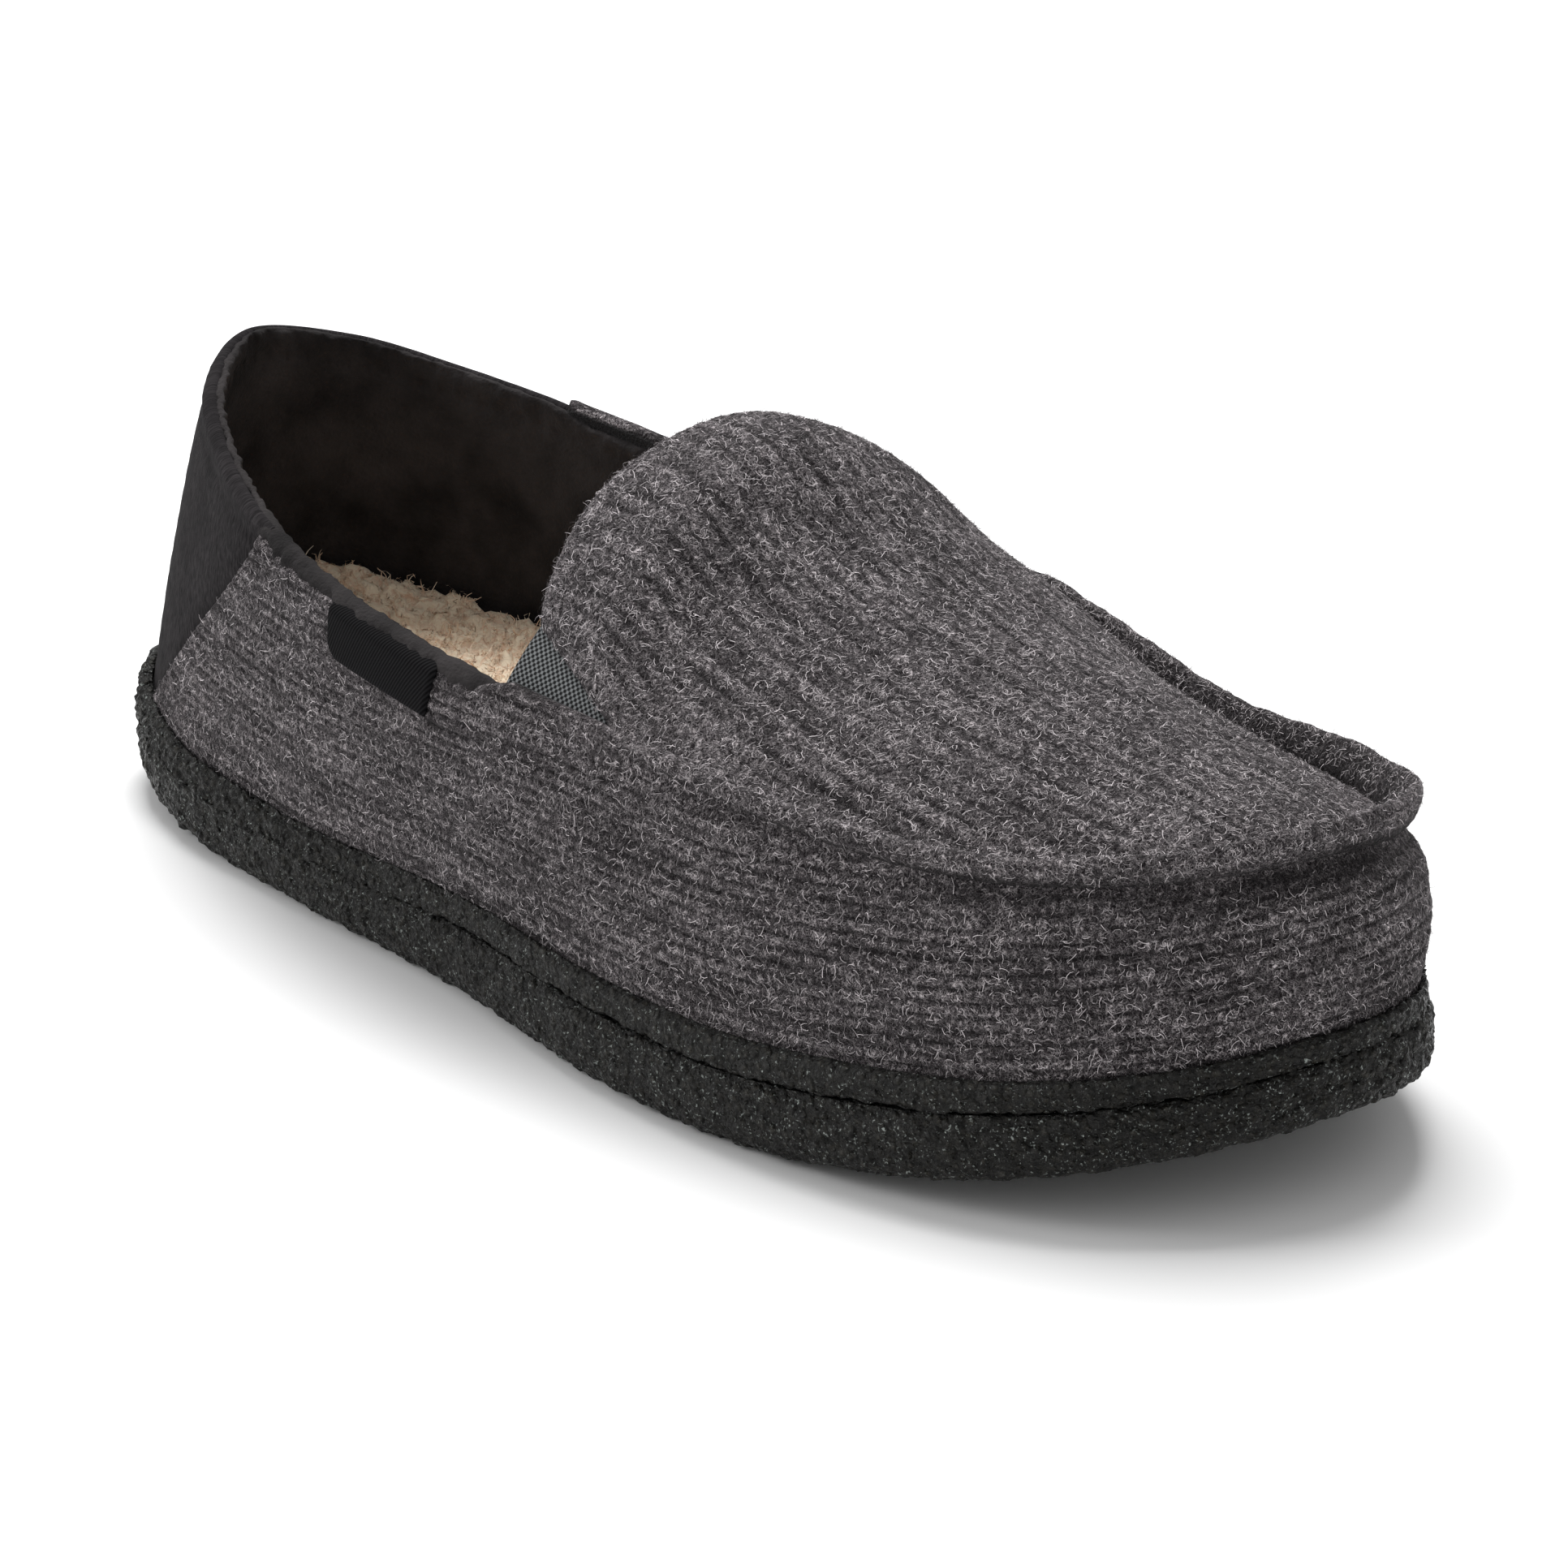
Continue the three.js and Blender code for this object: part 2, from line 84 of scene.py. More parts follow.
def read_table(places, values, at):
    """Values between the rows of a table, with a soft step from one row to the next."""
    at = np.asarray(at, float)
    result = np.full(at.shape, float(values[0]))
    for low, high, start, end in zip(places, places[1:], values, values[1:]):
        share = np.clip((at - low) / (high - low), 0, 1)
        result = np.where(at > low, start + (end - start) * share * share * (3 - 2 * share), result)
    return result


def spring_at(x):
    """Height of the underside above the floor."""
    share = x / shoe_length
    toe = np.maximum(0, (share - spring_start["toe"]) / (0.5 - spring_start["toe"]))
    heel = np.maximum(0, (spring_start["heel"] - share) / (0.5 + spring_start["heel"]))
    return toe_spring * toe ** 2 + heel_spring * heel ** 2


def side_at(x):
    """Height of the outsole's side."""
    return sole_height * read_table(side_places, side_shares, x / shoe_length)


def curve_at(points, turn, closed):
    """Places on a smooth curve through the points; turn counts the points passed."""
    count = len(points)
    turn = np.asarray(turn, float)
    if closed:
        turn = np.mod(turn, count)
    first = np.floor(turn).astype(int)
    if not closed:
        first = np.clip(first, 0, count - 2)
        ends = (2 * points[0] - points[1], 2 * points[-1] - points[-2])
        points = np.vstack([ends[0], points, ends[1]])
        near = [points[np.clip(first + step, 0, count + 1)] for step in range(4)]
    else:
        near = [points[np.mod(first + step - 1, count)] for step in range(4)]
    share = (turn - first)[..., None]
    gaps = [
        np.maximum(((far - close) ** 2).sum(-1, keepdims=True) ** 0.25, 1e-6)
        for close, far in zip(near, near[1:])
    ]
    chord = near[2] - near[1]
    leave = (near[1] - near[0]) / gaps[0] - (near[2] - near[0]) / (gaps[0] + gaps[1]) + chord / gaps[1]
    reach = chord / gaps[1] - (near[3] - near[1]) / (gaps[1] + gaps[2]) + (near[3] - near[2]) / gaps[2]
    leave = leave * gaps[1]
    reach = reach * gaps[1]
    bend = 3 * chord - 2 * leave - reach
    twist = leave + reach - 2 * chord
    return near[1] + leave * share + bend * share ** 2 + twist * share ** 3


flat_posts = np.c_[outline_posts, np.zeros(last_post)]
raw_outline = curve_at(flat_posts, np.linspace(0, last_post, 4 * last_post + 1), True)
raw_middle = (raw_outline.min(0) + raw_outline.max(0)) / 2
raw_size = raw_outline.max(0) - raw_outline.min(0)
raw_size[2] = 1


def unit(vectors):
    """The same directions with a length of 1."""
    return vectors / np.maximum(np.linalg.norm(vectors, axis=-1, keepdims=True), 1e-9)


def outline_at(post):
    """The sole's outline at one post, counted from the back of the heel along the outer side."""
    place = (curve_at(flat_posts, post, True) - raw_middle) / raw_size
    return place * (shoe_length, ball_width, 0)


def outward_of(line_at, post):
    """Flat direction that points out of a closed line."""
    run = line_at(post + 0.05) - line_at(post - 0.05)
    return unit(np.stack([run[..., 1], -run[..., 0], 0 * run[..., 0]], -1))


def edge_at(post, inset, lift):
    """A place on the edge of the sole, set in from the outline; lift is in shares of the side's height."""
    place = outline_at(post) - outward_of(outline_at, post) * np.asarray(inset, float)[..., None]
    x = place[..., 0]
    place[..., 2] = spring_at(x) + side_at(x) * lift
    return place


def lumps(points, size):
    """Soft noise from -1 to 1 at each point, with lumps of one size."""
    places = (points / size).reshape(-1, 3).tolist()
    return np.array([noise.noise(place) for place in places]).reshape(points.shape[:-1])


def pebbles(points, size):
    """Round pebbles packed side by side: 1 on their tops, 0 between them."""
    places = (points / size).reshape(-1, 3).tolist()
    nearest = np.array([noise.voronoi(place)[0][0] for place in places])
    return np.clip(1 - nearest ** 2 * 1.6, 0, 1).reshape(points.shape[:-1])


def hump(value, middle, width):
    """A soft bump of height 1 round a middle."""
    return np.exp(-((value - middle) / width) ** 2)


def heel_share(post):
    """1 round the back of the heel, where rand and outsole run into one, and 0 along the rest."""
    from_back = np.minimum(post, last_post - post)
    return 1 - np.clip((from_back - heel_reach) / heel_fade, 0, 1)


def toe_bulge(post):
    """How far the toe stands out beyond the plain outline, most at its inner corner."""
    return toe_fullness * hump(post, toe_bulge_post, toe_bulge_reach)


def pushed(points, amount):
    """Moves the points of a grid out along its face; rows run round, columns run across."""
    ahead = np.roll(points, -1, 0) - np.roll(points, 1, 0)
    across = np.gradient(points, axis=1)
    return points + unit(np.cross(ahead, across)) * np.asarray(amount)[..., None]


def grid_faces(rows, columns, round_rows=True, round_columns=True):
    """Four-cornered faces over a grid of points, closed round where asked."""
    row = np.arange(rows if round_rows else rows - 1)[:, None]
    column = np.arange(columns if round_columns else columns - 1)[None, :]
    next_row = (row + 1) % rows
    next_column = (column + 1) % columns
    corners = (
        row * columns + column,
        row * columns + next_column,
        next_row * columns + next_column,
        next_row * columns + column,
    )
    return np.stack(np.broadcast_arrays(*corners), -1).reshape(-1, 4)


def faced_out(points, faces):
    """Turns all the faces over where the mesh would be inside out."""
    corner = [points[faces[:, side]] for side in range(4)]
    volume = (corner[0] * (np.cross(corner[1], corner[2]) + np.cross(corner[2], corner[3]))).sum()
    return faces if volume > 0 else faces[:, ::-1]


def make_piece(name, points, faces, material, shade=None, place=None):
    """One mesh of the slipper, from points in millimetres, with a shade and a flat place at each point."""
    mesh = bpy.data.meshes.new(name)
    mesh.from_pydata((points.reshape(-1, 3) * millimetre).tolist(), [], faces.tolist())
    mesh.polygons.foreach_set("use_smooth", np.ones(len(faces), bool))
    if shade is not None:
        marks = mesh.attributes.new("shade", "FLOAT", "POINT")
        marks.data.foreach_set("value", shade.ravel().astype(np.float32))
    if place is not None:
        corners = np.empty(len(mesh.loops), np.int32)
        mesh.loops.foreach_get("vertex_index", corners)
        layer = mesh.uv_layers.new(name="UVMap")
        layer.data.foreach_set("uv", place.reshape(-1, 2)[corners].astype(np.float32).ravel())
    mesh.materials.append(material)
    piece = bpy.data.objects.new(name, mesh)
    bpy.context.scene.collection.objects.link(piece)
    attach(piece, "root")
    return piece


def grid_piece(name, points, material, slot, shade=None, place=None, **closed):
    """A mesh over a grid of points, with its faces turned outward."""
    faces = faced_out(points.reshape(-1, 3), grid_faces(*points.shape[:2], **closed))
    return make_piece(name, points, faces, material, shade, place)


def new_material(name, roughness, sheen=0, specular=0.5):
    """A material and its main shader, with even roughness, sheen and gloss."""
    material = bpy.data.materials.new(name)
    material.use_nodes = True
    shader = material.node_tree.nodes["Principled BSDF"]
    shader.inputs["Roughness"].default_value = roughness
    shader.inputs["Sheen Weight"].default_value = sheen
    shader.inputs["Sheen Roughness"].default_value = 0.6
    shader.inputs["Specular IOR Level"].default_value = specular
    return material, shader


def add_node(tree, kind, inputs, output=0, **settings):
    """A shader node; its inputs are plain values or outputs of other nodes."""
    node = tree.nodes.new("ShaderNode" + kind)
    for name, value in settings.items():
        setattr(node, name, value)
    for key, value in inputs.items():
        if isinstance(value, bpy.types.NodeSocket):
            tree.links.new(value, node.inputs[key])
        else:
            node.inputs[key].default_value = value
    return node.outputs[output]


def spread(tree, value, low, high, start=0, end=1):
    """Stretches a value from one range to another and cuts off what lies outside."""
    return add_node(tree, "MapRange", {0: value, 1: low, 2: high, 3: start, 4: end})


def cloud(tree, size, detail=2, distortion=0):
    """Noise over the whole slipper, with patches of one size in millimetres."""
    where = add_node(tree, "TexCoord", {}, output=3)
    return add_node(tree, "TexNoise", {
        "Vector": where, "Scale": 1 / (size * millimetre), "Detail": detail, "Distortion": distortion,
    })


def paint(tree, shader, colour, height, depth):
    """Joins a colour and a relief of some depth in millimetres to the main shader."""
    tree.links.new(colour, shader.inputs["Base Color"])
    bump = add_node(tree, "Bump", {"Height": height, "Distance": depth * millimetre, "Strength": 1})
    tree.links.new(bump, shader.inputs["Normal"])


def make_rubber(name, painted_glint_share):
    """Dark crumb rubber of uneven gloss, with painted shade in the hollows between the pebbles and a few
    grains carrying painted glints.
    """
    material, shader = new_material(name, 0.5, specular=0.3)
    tree = material.node_tree
    where = add_node(tree, "TexCoord", {}, output=3)
    pebble = add_node(tree, "TexVoronoi", {"Vector": where, "Scale": 1 / (1.5 * millimetre)})
    top = spread(tree, pebble, 0.1, 0.6, 1, 0)
    # Painted glints: scattered specks, gathered in clusters, get a light colour in place of highlights.
    speck = spread(tree, cloud(tree, 0.55, 1, 0.6), 0.68 - painted_glint_share, 0.76 - painted_glint_share)
    chosen = spread(tree, cloud(tree, 2.6, 2), 0.36, 0.6)
    painted_glint = add_node(tree, "Math", {0: chosen, 1: speck}, operation="MULTIPLY")
    patch = spread(tree, cloud(tree, 1.6, 3), 0.36, 0.66)
    # Painted shade: the ground grows dark in the hollows between the pebble tops, and random patches vary
    # it further.
    tone = add_node(tree, "Math", {0: patch, 1: spread(tree, top, 0, 1, 0.15, 1)}, operation="MULTIPLY")
    ground = add_node(tree, "MixRGB", {0: tone, 1: rubber_dark, 2: rubber_light})
    colour = add_node(tree, "MixRGB", {0: painted_glint, 1: ground, 2: rubber_painted_glint})
    gloss = spread(tree, cloud(tree, 0.8, 1), 0.4, 0.62, 0.7, 0.25)
    tree.links.new(gloss, shader.inputs["Roughness"])
    relief = add_node(tree, "Math", {0: top, 1: cloud(tree, 0.6, 2)}, operation="ADD")
    paint(tree, shader, colour, relief, 1.1)
    return material


rubber = make_rubber("rubber", painted_glint_share=0.05)
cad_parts["outsole"].data.materials.clear()
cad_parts["outsole"].data.materials.append(rubber)

around = np.linspace(0, last_post, skin_steps, endpoint=False)[:, None]
level_rows = np.linspace(0, 1, 25)[None, :]
skin_inset = np.interp(level_rows, skin_levels, skin_insets)
skin_inset = skin_inset * (1 - 0.85 * heel_share(around) * (level_rows > 0.5))
skin = edge_at(around, skin_inset, level_rows + 0 * around)
rough = pebble_depth * (pebbles(skin * pebble_stretch, pebble_size) - 0.45)
rough = rough + pit_depth * lumps(skin, pit_size) + grit_depth * lumps(skin, grit_size) + toe_bulge(around)
skin = pushed(skin, skin_stand + rough)
skin[..., 2] = np.maximum(skin[..., 2], spring_at(skin[..., 0]) + 0.02)
core_rows = np.array([[0.85, 0.15]])
core = edge_at(around, core_inset + 0 * around + 0 * core_rows, core_rows + 0 * around)
skin = np.concatenate([skin, core], 1)
grid_piece("outsole_crumb", skin, rubber, "rubber")

# Rand
# A strip of the same rubber that stands on the outsole and hugs the foot of the upper. It is glued on,
# and an uneven dark line shows where it lies on the outsole.
rand_height = 5.9
rand_wall = 4
rand_clearance = 0.6
clearance = 0.32
rand_top_inset = 1.5
rand_levels = (0, 0.12, 0.8, 1)
rand_insets = (1.3, 0.7, 0.8, rand_top_inset)
rand_pebble_size = 1.8
rand_steps = 950
foot_inset = rand_wall + rand_clearance
foot_fullness = 1.8
crack_size = 14
crack_depth = 0.45

quarter_rise = 72
top_posts = np.array([
    (-0.459, 0.01, 0.96), (-0.424, -0.15, 0.945), (-0.37, -0.253, 0.895), (-0.257, -0.37, 0.8),
    (-0.105, -0.43, 0.715), (0.084, -0.42, 0.65), (0.211, -0.385, 0.585), (0.333, -0.3, 0.525),
    (0.42, -0.15, 0.505), (0.457, 0.08, 0.485), (0.43, 0.295, 0.445), (0.35, 0.41, 0.455),
    (0.224, 0.445, 0.525), (0.079, 0.43, 0.735), (-0.1, 0.41, 0.745), (-0.25, 0.38, 0.81),
    (-0.37, 0.275, 0.898), (-0.429, 0.165, 0.94),
])
bulge_posts = np.array([0.3, 0.3, 0.5, 1, 1, 1, 1, 1.2, 1.5, 1.8, 1.8, 1.2, 1, 1, 1, 1, 0.5, 0.3])
side_bulge = 2.4
fullest = 0.6


def place_above(along, across, height):
    """A place above the sole, from its shares of the length and width."""
    x = (np.asarray(along) - raw_middle[0]) * shoe_length
    y = (np.asarray(across) - raw_middle[1]) * ball_width
    return np.stack([x, y, spring_at(x) + side_at(x) + height], -1)


top_points = place_above(top_posts[:, 0], top_posts[:, 1], top_posts[:, 2] * quarter_rise)
bulge_points = np.repeat(bulge_posts[:, None], 3, 1)


def top_at(post):
    """The top edge of the side wall."""
    return curve_at(top_points, post, True)


def wall_at(post, climb, stand):
    """A place on the outer face of the side: climb is 0 at the sole and 1 at the top edge."""
    post, climb, stand = np.broadcast_arrays(post, climb, stand)
    fullness = foot_fullness + 0.5 * heel_share(post) + toe_bulge(post)
    foot = edge_at(post, foot_inset - fullness, 1)
    foot[..., 2] += clearance
    share = np.clip(climb, 0, 1)[..., None]
    shape = share ** 1.5 * (1 - share) / (fullest ** 1.5 * (1 - fullest))
    bulge = side_bulge * curve_at(bulge_points, post, True)[..., :1] * shape
    out = unit(outward_of(outline_at, post) * (1 - share) + outward_of(top_at, post) * share)
    bulge = bulge + share * toe_bulge(post)[..., None]
    return foot + (top_at(post) - foot) * climb[..., None] + out * (bulge + stand[..., None])


def height_at(post):
    """Height of the side wall at one post."""
    return wall_at(post, 1.0, 0.0)[..., 2] - wall_at(post, 0.0, 0.0)[..., 2]


around = np.linspace(0, last_post, rand_steps, endpoint=False)
merged = heel_share(around)
rand_shares = np.linspace(0, 1, 11)
rise = rand_height / sole_height
full = toe_bulge(around)
rand_rows = []
for share in rand_shares:
    inset = np.interp(share, rand_levels, rand_insets)
    lift = 1 + rise * share + 0.022 - 0.09 * merged * (1 - share)
    rand_rows.append(edge_at(around, inset - 0.8 * merged * (1 - share) - full, lift))
tall = rise * side_at(outline_at(around)[:, 0]) / height_at(around)
for share, stand in ((1.05, 1.0), (1.0, 0.3), (0.5, 0.2), (0, 0.2)):
    rand_rows.append(wall_at(around, tall * share, stand))
strip = np.stack(rand_rows, 1)
rough = 0.6 * (pebbles(strip, rand_pebble_size) - 0.5)
rough = rough + 0.3 * lumps(strip, 4.5) + 0.2 * lumps(strip, grit_size)
rough = rough * (1 + 0.7 * merged[:, None])
rough[:, -3:] = 0
strip = pushed(strip, rough)
wander = crack_depth * lumps(strip[:, :1], crack_size) + 0.3 * lumps(strip[:, :1], 2.2)
fade = np.clip(1 - rand_shares / 0.35, 0, 1)[None, :] * (1 - merged[:, None])
strip[:, :len(rand_shares), 2] += np.maximum(wander + 0.15, -0.2) * fade
rand_rubber = make_rubber("rand_rubber", painted_glint_share=0.03)
rand = grid_piece("rand_strip", strip, rand_rubber, "rubber")
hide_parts("rand")

# Upper, the knitted side wall
# Thick felted rib knit in heathered charcoal wool, backed with black plush. The ribs run level round
# the side, from the slanted joint with the heel panel to the toe. It is turned in along its free edge.
knit_wall = 3.2
side_rib_pitch = 2.25
rib_depth = 0.5
streak_length = 24
streak_width = 4.5
knit_grain = 0.16
piping_rise = 3.1
heel_joint = {"outer_top": 2.82, "outer_foot": 1.25, "inner_top": 15.33, "inner_foot": 16.75}
joint_bend = 1.25
knit_dark = (0.011, 0.009, 0.0098, 1)
knit_mid = (0.125, 0.110, 0.117, 1)
knit_light = (1.0, 0.91, 0.93, 1)
knit_back = (0.02, 0.0185, 0.019, 1)
seam_start = {"outer": 5, "inner": 13}
lined_mark = -1
edge_round = 1.2
posts_per_millimetre = 0.028
post_length = 40
wall_length = 520
lap_height = 0.7
lap_width = 5
lip_shadow = {"drop": 1.8, "width": 1.6, "post": 9, "reach": 2.6, "depth": 0.7}
quarter_dent = {"depth": 0.6, "post": 4.45, "width": 0.1, "slant": 0.006}

# Creases below the top edge: height, distance below the edge, width, slant, post and reach.
side_creases = (
    (0.9, 5.5, 3.5, 0, 8.6, 1.5),
    (-0.7, 10.5, 1.8, 0, 8.4, 1.6),
    (1.2, 6, 4.5, 0, 5.6, 0.55),
    (-1.1, 12.55, 3, 9, 5.15, 0.35),
)
rows_up = 112
side_columns = 500
end_columns = 4
rim_rows = 7
inner_rows = 9
label_gap = {"back": 3.35, "front": 4.28, "drop": 13}
side_hairs = 22500
side_long_hairs = 1500


def rib_wave(distance, pitch):
    """Round backs with narrow furrows between, from 0 in a furrow to 1 on a rib."""
    return np.abs(np.sin(np.pi * distance / pitch)) ** 0.65


def joint_post(top, foot, climb, move):
    """Post on the slanted joint with the heel panel, moved along the wall by a distance."""
    post = top + (foot - top) * (1 - climb) ** joint_bend
    run = wall_at(post + 0.05, climb, 0.0) - wall_at(post - 0.05, climb, 0.0)
    return post + move * 0.1 / np.linalg.norm(run, axis=-1)


def quarter_share(post):
    """1 where the side wall has a free top edge, 0 where the seam to the vamp runs on it."""
    return 1 - np.clip((post - 4.6) / 0.4, 0, 1) * np.clip((13.4 - post) / 0.4, 0, 1)


def bead_share(post):
    """1 where the lining's bead stands above the knit: the outer quarter, back from the gore."""
    return 1 - np.clip((post - 4.3) / 0.15, 0, 1)


def climb_over_edge(count):
    """Rows up the outer face, over the rounded top edge and down inside: their climb and their turn."""
    climbs = np.concatenate([np.linspace(0, 1, count), np.ones(rim_rows), np.linspace(1, 0, inner_rows)])
    turns = [np.zeros(count), np.linspace(0, math.pi, rim_rows), np.full(inner_rows, math.pi)]
    return climbs, np.concatenate(turns)


def curly_lines(tree, size, width, twist):
    """Fine curly lines, 1 on a line and 0 beside it."""
    away = add_node(tree, "Math", {0: cloud(tree, size, 1.5, twist), 1: 0.5}, operation="SUBTRACT")
    away = add_node(tree, "Math", {0: away}, operation="ABSOLUTE")
    return spread(tree, away, 0, width, 1, 0)


def times(tree, *values):
    """The product of several shader values."""
    result = values[0]
    for value in values[1:]:
        result = add_node(tree, "Math", {0: result, 1: value}, operation="MULTIPLY")
    return result


def make_knit(name):
    """Heathered wool: grey clumps under light curly filaments, with painted shade in the rib furrows and
    under the seam lip, and plain black on the lined side.
    """
    material, shader = new_material(name, 0.95, sheen=0.07, specular=0.08)
    shader.inputs["Sheen Roughness"].default_value = 0.25
    tree = material.node_tree
    shade_and_lining_mark = add_node(tree, "Attribute", {}, output=2, attribute_name="shade")
    # Painted shade: a low shade mark darkens the ground and filaments in the rib furrows and under the seam
    # lip; a mark below -0.1 gives the black lined side.
    furrow_shade = spread(tree, shade_and_lining_mark, 0.15, 0.85, 0.2, 1)
    along = add_node(tree, "TexCoord", {}, output=2)
    size = (1 / streak_length, 1 / streak_width, 0)
    along = add_node(tree, "VectorMath", {0: along, 1: size}, operation="MULTIPLY")
    streak = add_node(tree, "TexNoise", {"Vector": along, "Scale": 1, "Detail": 2})
    streak = spread(tree, streak, 0.36, 0.64, 0.42, 1)
    coarse = curly_lines(tree, 1.5, 0.036, 1.4)
    fine = curly_lines(tree, 0.9, 0.048, 1.6)
    lines = add_node(tree, "Math", {0: coarse, 1: fine}, operation="MAXIMUM")
    clump = spread(tree, cloud(tree, 1.3, 3), 0.34, 0.66, 0.4, 1)
    speckle = spread(tree, cloud(tree, 0.6, 2), 0.36, 0.64)
    ground = times(tree, clump, speckle, furrow_shade, streak)
    ground = add_node(tree, "MixRGB", {0: ground, 1: knit_dark, 2: knit_mid})
    show = spread(tree, cloud(tree, 1.3, 2), 0.38, 0.62, 0.3, 1)
    bright = times(tree, lines, show, furrow_shade, streak)
    face = add_node(tree, "MixRGB", {0: bright, 1: ground, 2: knit_light})
    lined = spread(tree, shade_and_lining_mark, -0.6, -0.1, 1, 0)
    colour = add_node(tree, "MixRGB", {0: lined, 1: face, 2: knit_back})
    relief = add_node(tree, "Math", {0: lines, 1: speckle}, operation="ADD")
    paint(tree, shader, colour, relief, 0.3)
    return material


def scatter(points, count, seed, weight=None):
    """Random places on a grid of points, with the direction out of the slipper there."""
    chance = np.random.default_rng(seed)
    down = points[1:, :-1] - points[:-1, :-1]
    over = points[:-1, 1:] - points[:-1, :-1]
    normal = np.cross(down, over)
    area = np.linalg.norm(normal, axis=-1)
    if weight is not None:
        area = area * weight[:-1, :-1]
    cells = chance.choice(area.size, count, p=(area / area.sum()).ravel())
    share = chance.uniform(0, 1, (2, count, 1))
    corner = points[:-1, :-1].reshape(-1, 3)[cells]
    roots = corner + down.reshape(-1, 3)[cells] * share[0] + over.reshape(-1, 3)[cells] * share[1]
    outs = unit(normal.reshape(-1, 3)[cells])
    return roots, outs * np.sign((outs * roots).sum())


def make_hairs(name, surface, count, material, seed, length, lift, curl, width, weight=None):
    """Loose fibres on a grid of points, as thin curled ribbons, each with its own shade."""
    roots, outs = scatter(surface, count, seed, weight)
    chance = np.random.default_rng(seed + 1)
    side = unit(np.cross(outs, chance.normal(size=(count, 3))))
    other = np.cross(outs, side)
    heading = chance.uniform(0.5, 1.5, (count, 1)) * lift
    angle = np.zeros((count, 1))
    turn = chance.normal(0, curl, (count, 1))
    reach = length * chance.uniform(0.5, 1.3, (count, 1)) / 3
    centre = roots - outs * 0.1
    steps = []
    for step in range(4):
        flat = side * np.cos(angle) + other * np.sin(angle)
        along = unit(flat + outs * heading)
        wide = unit(np.cross(along, outs)) * width / 2 * (1 - 0.2 * step)
        steps.append(np.stack([centre - wide, centre + wide], 1))
        centre = centre + along * reach
        angle = angle + turn
        heading = heading - 0.55 * lift
    points = np.stack(steps, 1)
    base = np.arange(count)[:, None, None] * 8 + np.arange(3)[None, :, None] * 2
    faces = (base + np.array([0, 1, 3, 2])).reshape(-1, 4)
    shade = np.repeat(chance.uniform(0, 1, count), 8)
    make_piece(name, points, faces, material, shade)


def make_fibre(name, dark, light):
    """Loose fibres from dark to light, by the shade of each."""
    material, shader = new_material(name, 0.8, sheen=0, specular=0.2)
    tree = material.node_tree
    tone = add_node(tree, "Attribute", {}, output=2, attribute_name="shade")
    tone = add_node(tree, "Math", {0: tone, 1: 2.2}, operation="POWER")
    colour = add_node(tree, "MixRGB", {0: tone, 1: dark, 2: light})
    tree.links.new(colour, shader.inputs["Base Color"])
    return material


knit = make_knit("heather_knit")
wool = make_fibre("wool_fibre", (0.03, 0.026, 0.028, 1), (0.95, 0.88, 0.90, 1))

end_turn = np.linspace(0, math.pi / 2, end_columns + 1)
shares = np.concatenate([np.zeros(end_columns), np.linspace(0, 1, side_columns), np.ones(end_columns)])
squeeze = np.concatenate([np.cos(end_turn[:0:-1]), np.ones(side_columns), np.cos(end_turn[1:])])
bend_out = np.concatenate([-np.sin(end_turn[:0:-1]), np.zeros(side_columns), np.sin(end_turn[1:])])
up, roll = climb_over_edge(rows_up)
start = joint_post(heel_joint["outer_top"], heel_joint["outer_foot"], up, 0.0)
end = joint_post(heel_joint["inner_top"], heel_joint["inner_foot"], up, 0.0)
post = start + (end - start) * shares[:, None]
post = post + bend_out[:, None] * edge_round * posts_per_millimetre
height = height_at(post)
free_edge = quarter_share(post)
drop = piping_rise * bead_share(post)
climb = up * (1 - drop / height) + np.sin(roll) * knit_wall * 0.4 / height
level = climb * height
side_place = np.stack([post * post_length, level], -1)
flat_side = np.stack([post * post_length, level, 0 * post], -1)
ribs = rib_wave(level + 0.4 * lumps(flat_side, 22), side_rib_pitch)
ribs = 0.75 + (ribs - 0.75) * np.clip(0.95 + 0.9 * lumps(flat_side, 9), 0.4, 1.15)
below_top = (1 - climb) * height
calm = 1 - 0.75 * hump(below_top, 0, 3) * (1 - free_edge)
under_lip = hump(below_top, lip_shadow["drop"], lip_shadow["width"])
under_lip = under_lip * hump(post, lip_shadow["post"], lip_shadow["reach"])
wave = wall_at(post, climb, 0.0)
crease = 0.35 * lumps(wave, 26) - lip_shadow["depth"] * under_lip
for depth, distance, width, slant, middle, reach in side_creases:
    across_it = hump(below_top + slant * (post - middle), distance, width)
    crease = crease + depth * across_it * hump(post, middle, reach)
dent = hump(post - quarter_dent["slant"] * level, quarter_dent["post"], quarter_dent["width"])
crease = crease - quarter_dent["depth"] * dent * hump(climb, 0.8, 0.35)
outer = (np.cos(roll) + 1) / 2
stand = -knit_wall * (1 - outer)
stand = stand + outer * (rib_depth * (ribs - 0.6) * calm + crease + knit_grain * lumps(wave, 1.5))
stand = (stand + knit_wall / 2) * squeeze[:, None] - knit_wall / 2
to_joint = np.minimum(shares, 1 - shares) * wall_length
lap = lap_height * np.exp(-to_joint / lap_width)[:, None] * outer
side_wall = wall_at(post, climb, stand + lap)
# Painted shade for the knit: darker in the rib furrows and in a band just under the seam lip; the inner
# rows get the lined mark for the black backing.
side_shade = (ribs * calm + 1 - calm) * (1 - 0.55 * under_lip)
side_shade = np.where(roll > 0.99 * math.pi, lined_mark, side_shade)
side_knit = grid_piece("side_knit", side_wall, knit, "knit", side_shade, side_place, round_rows=False)
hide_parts("upper")

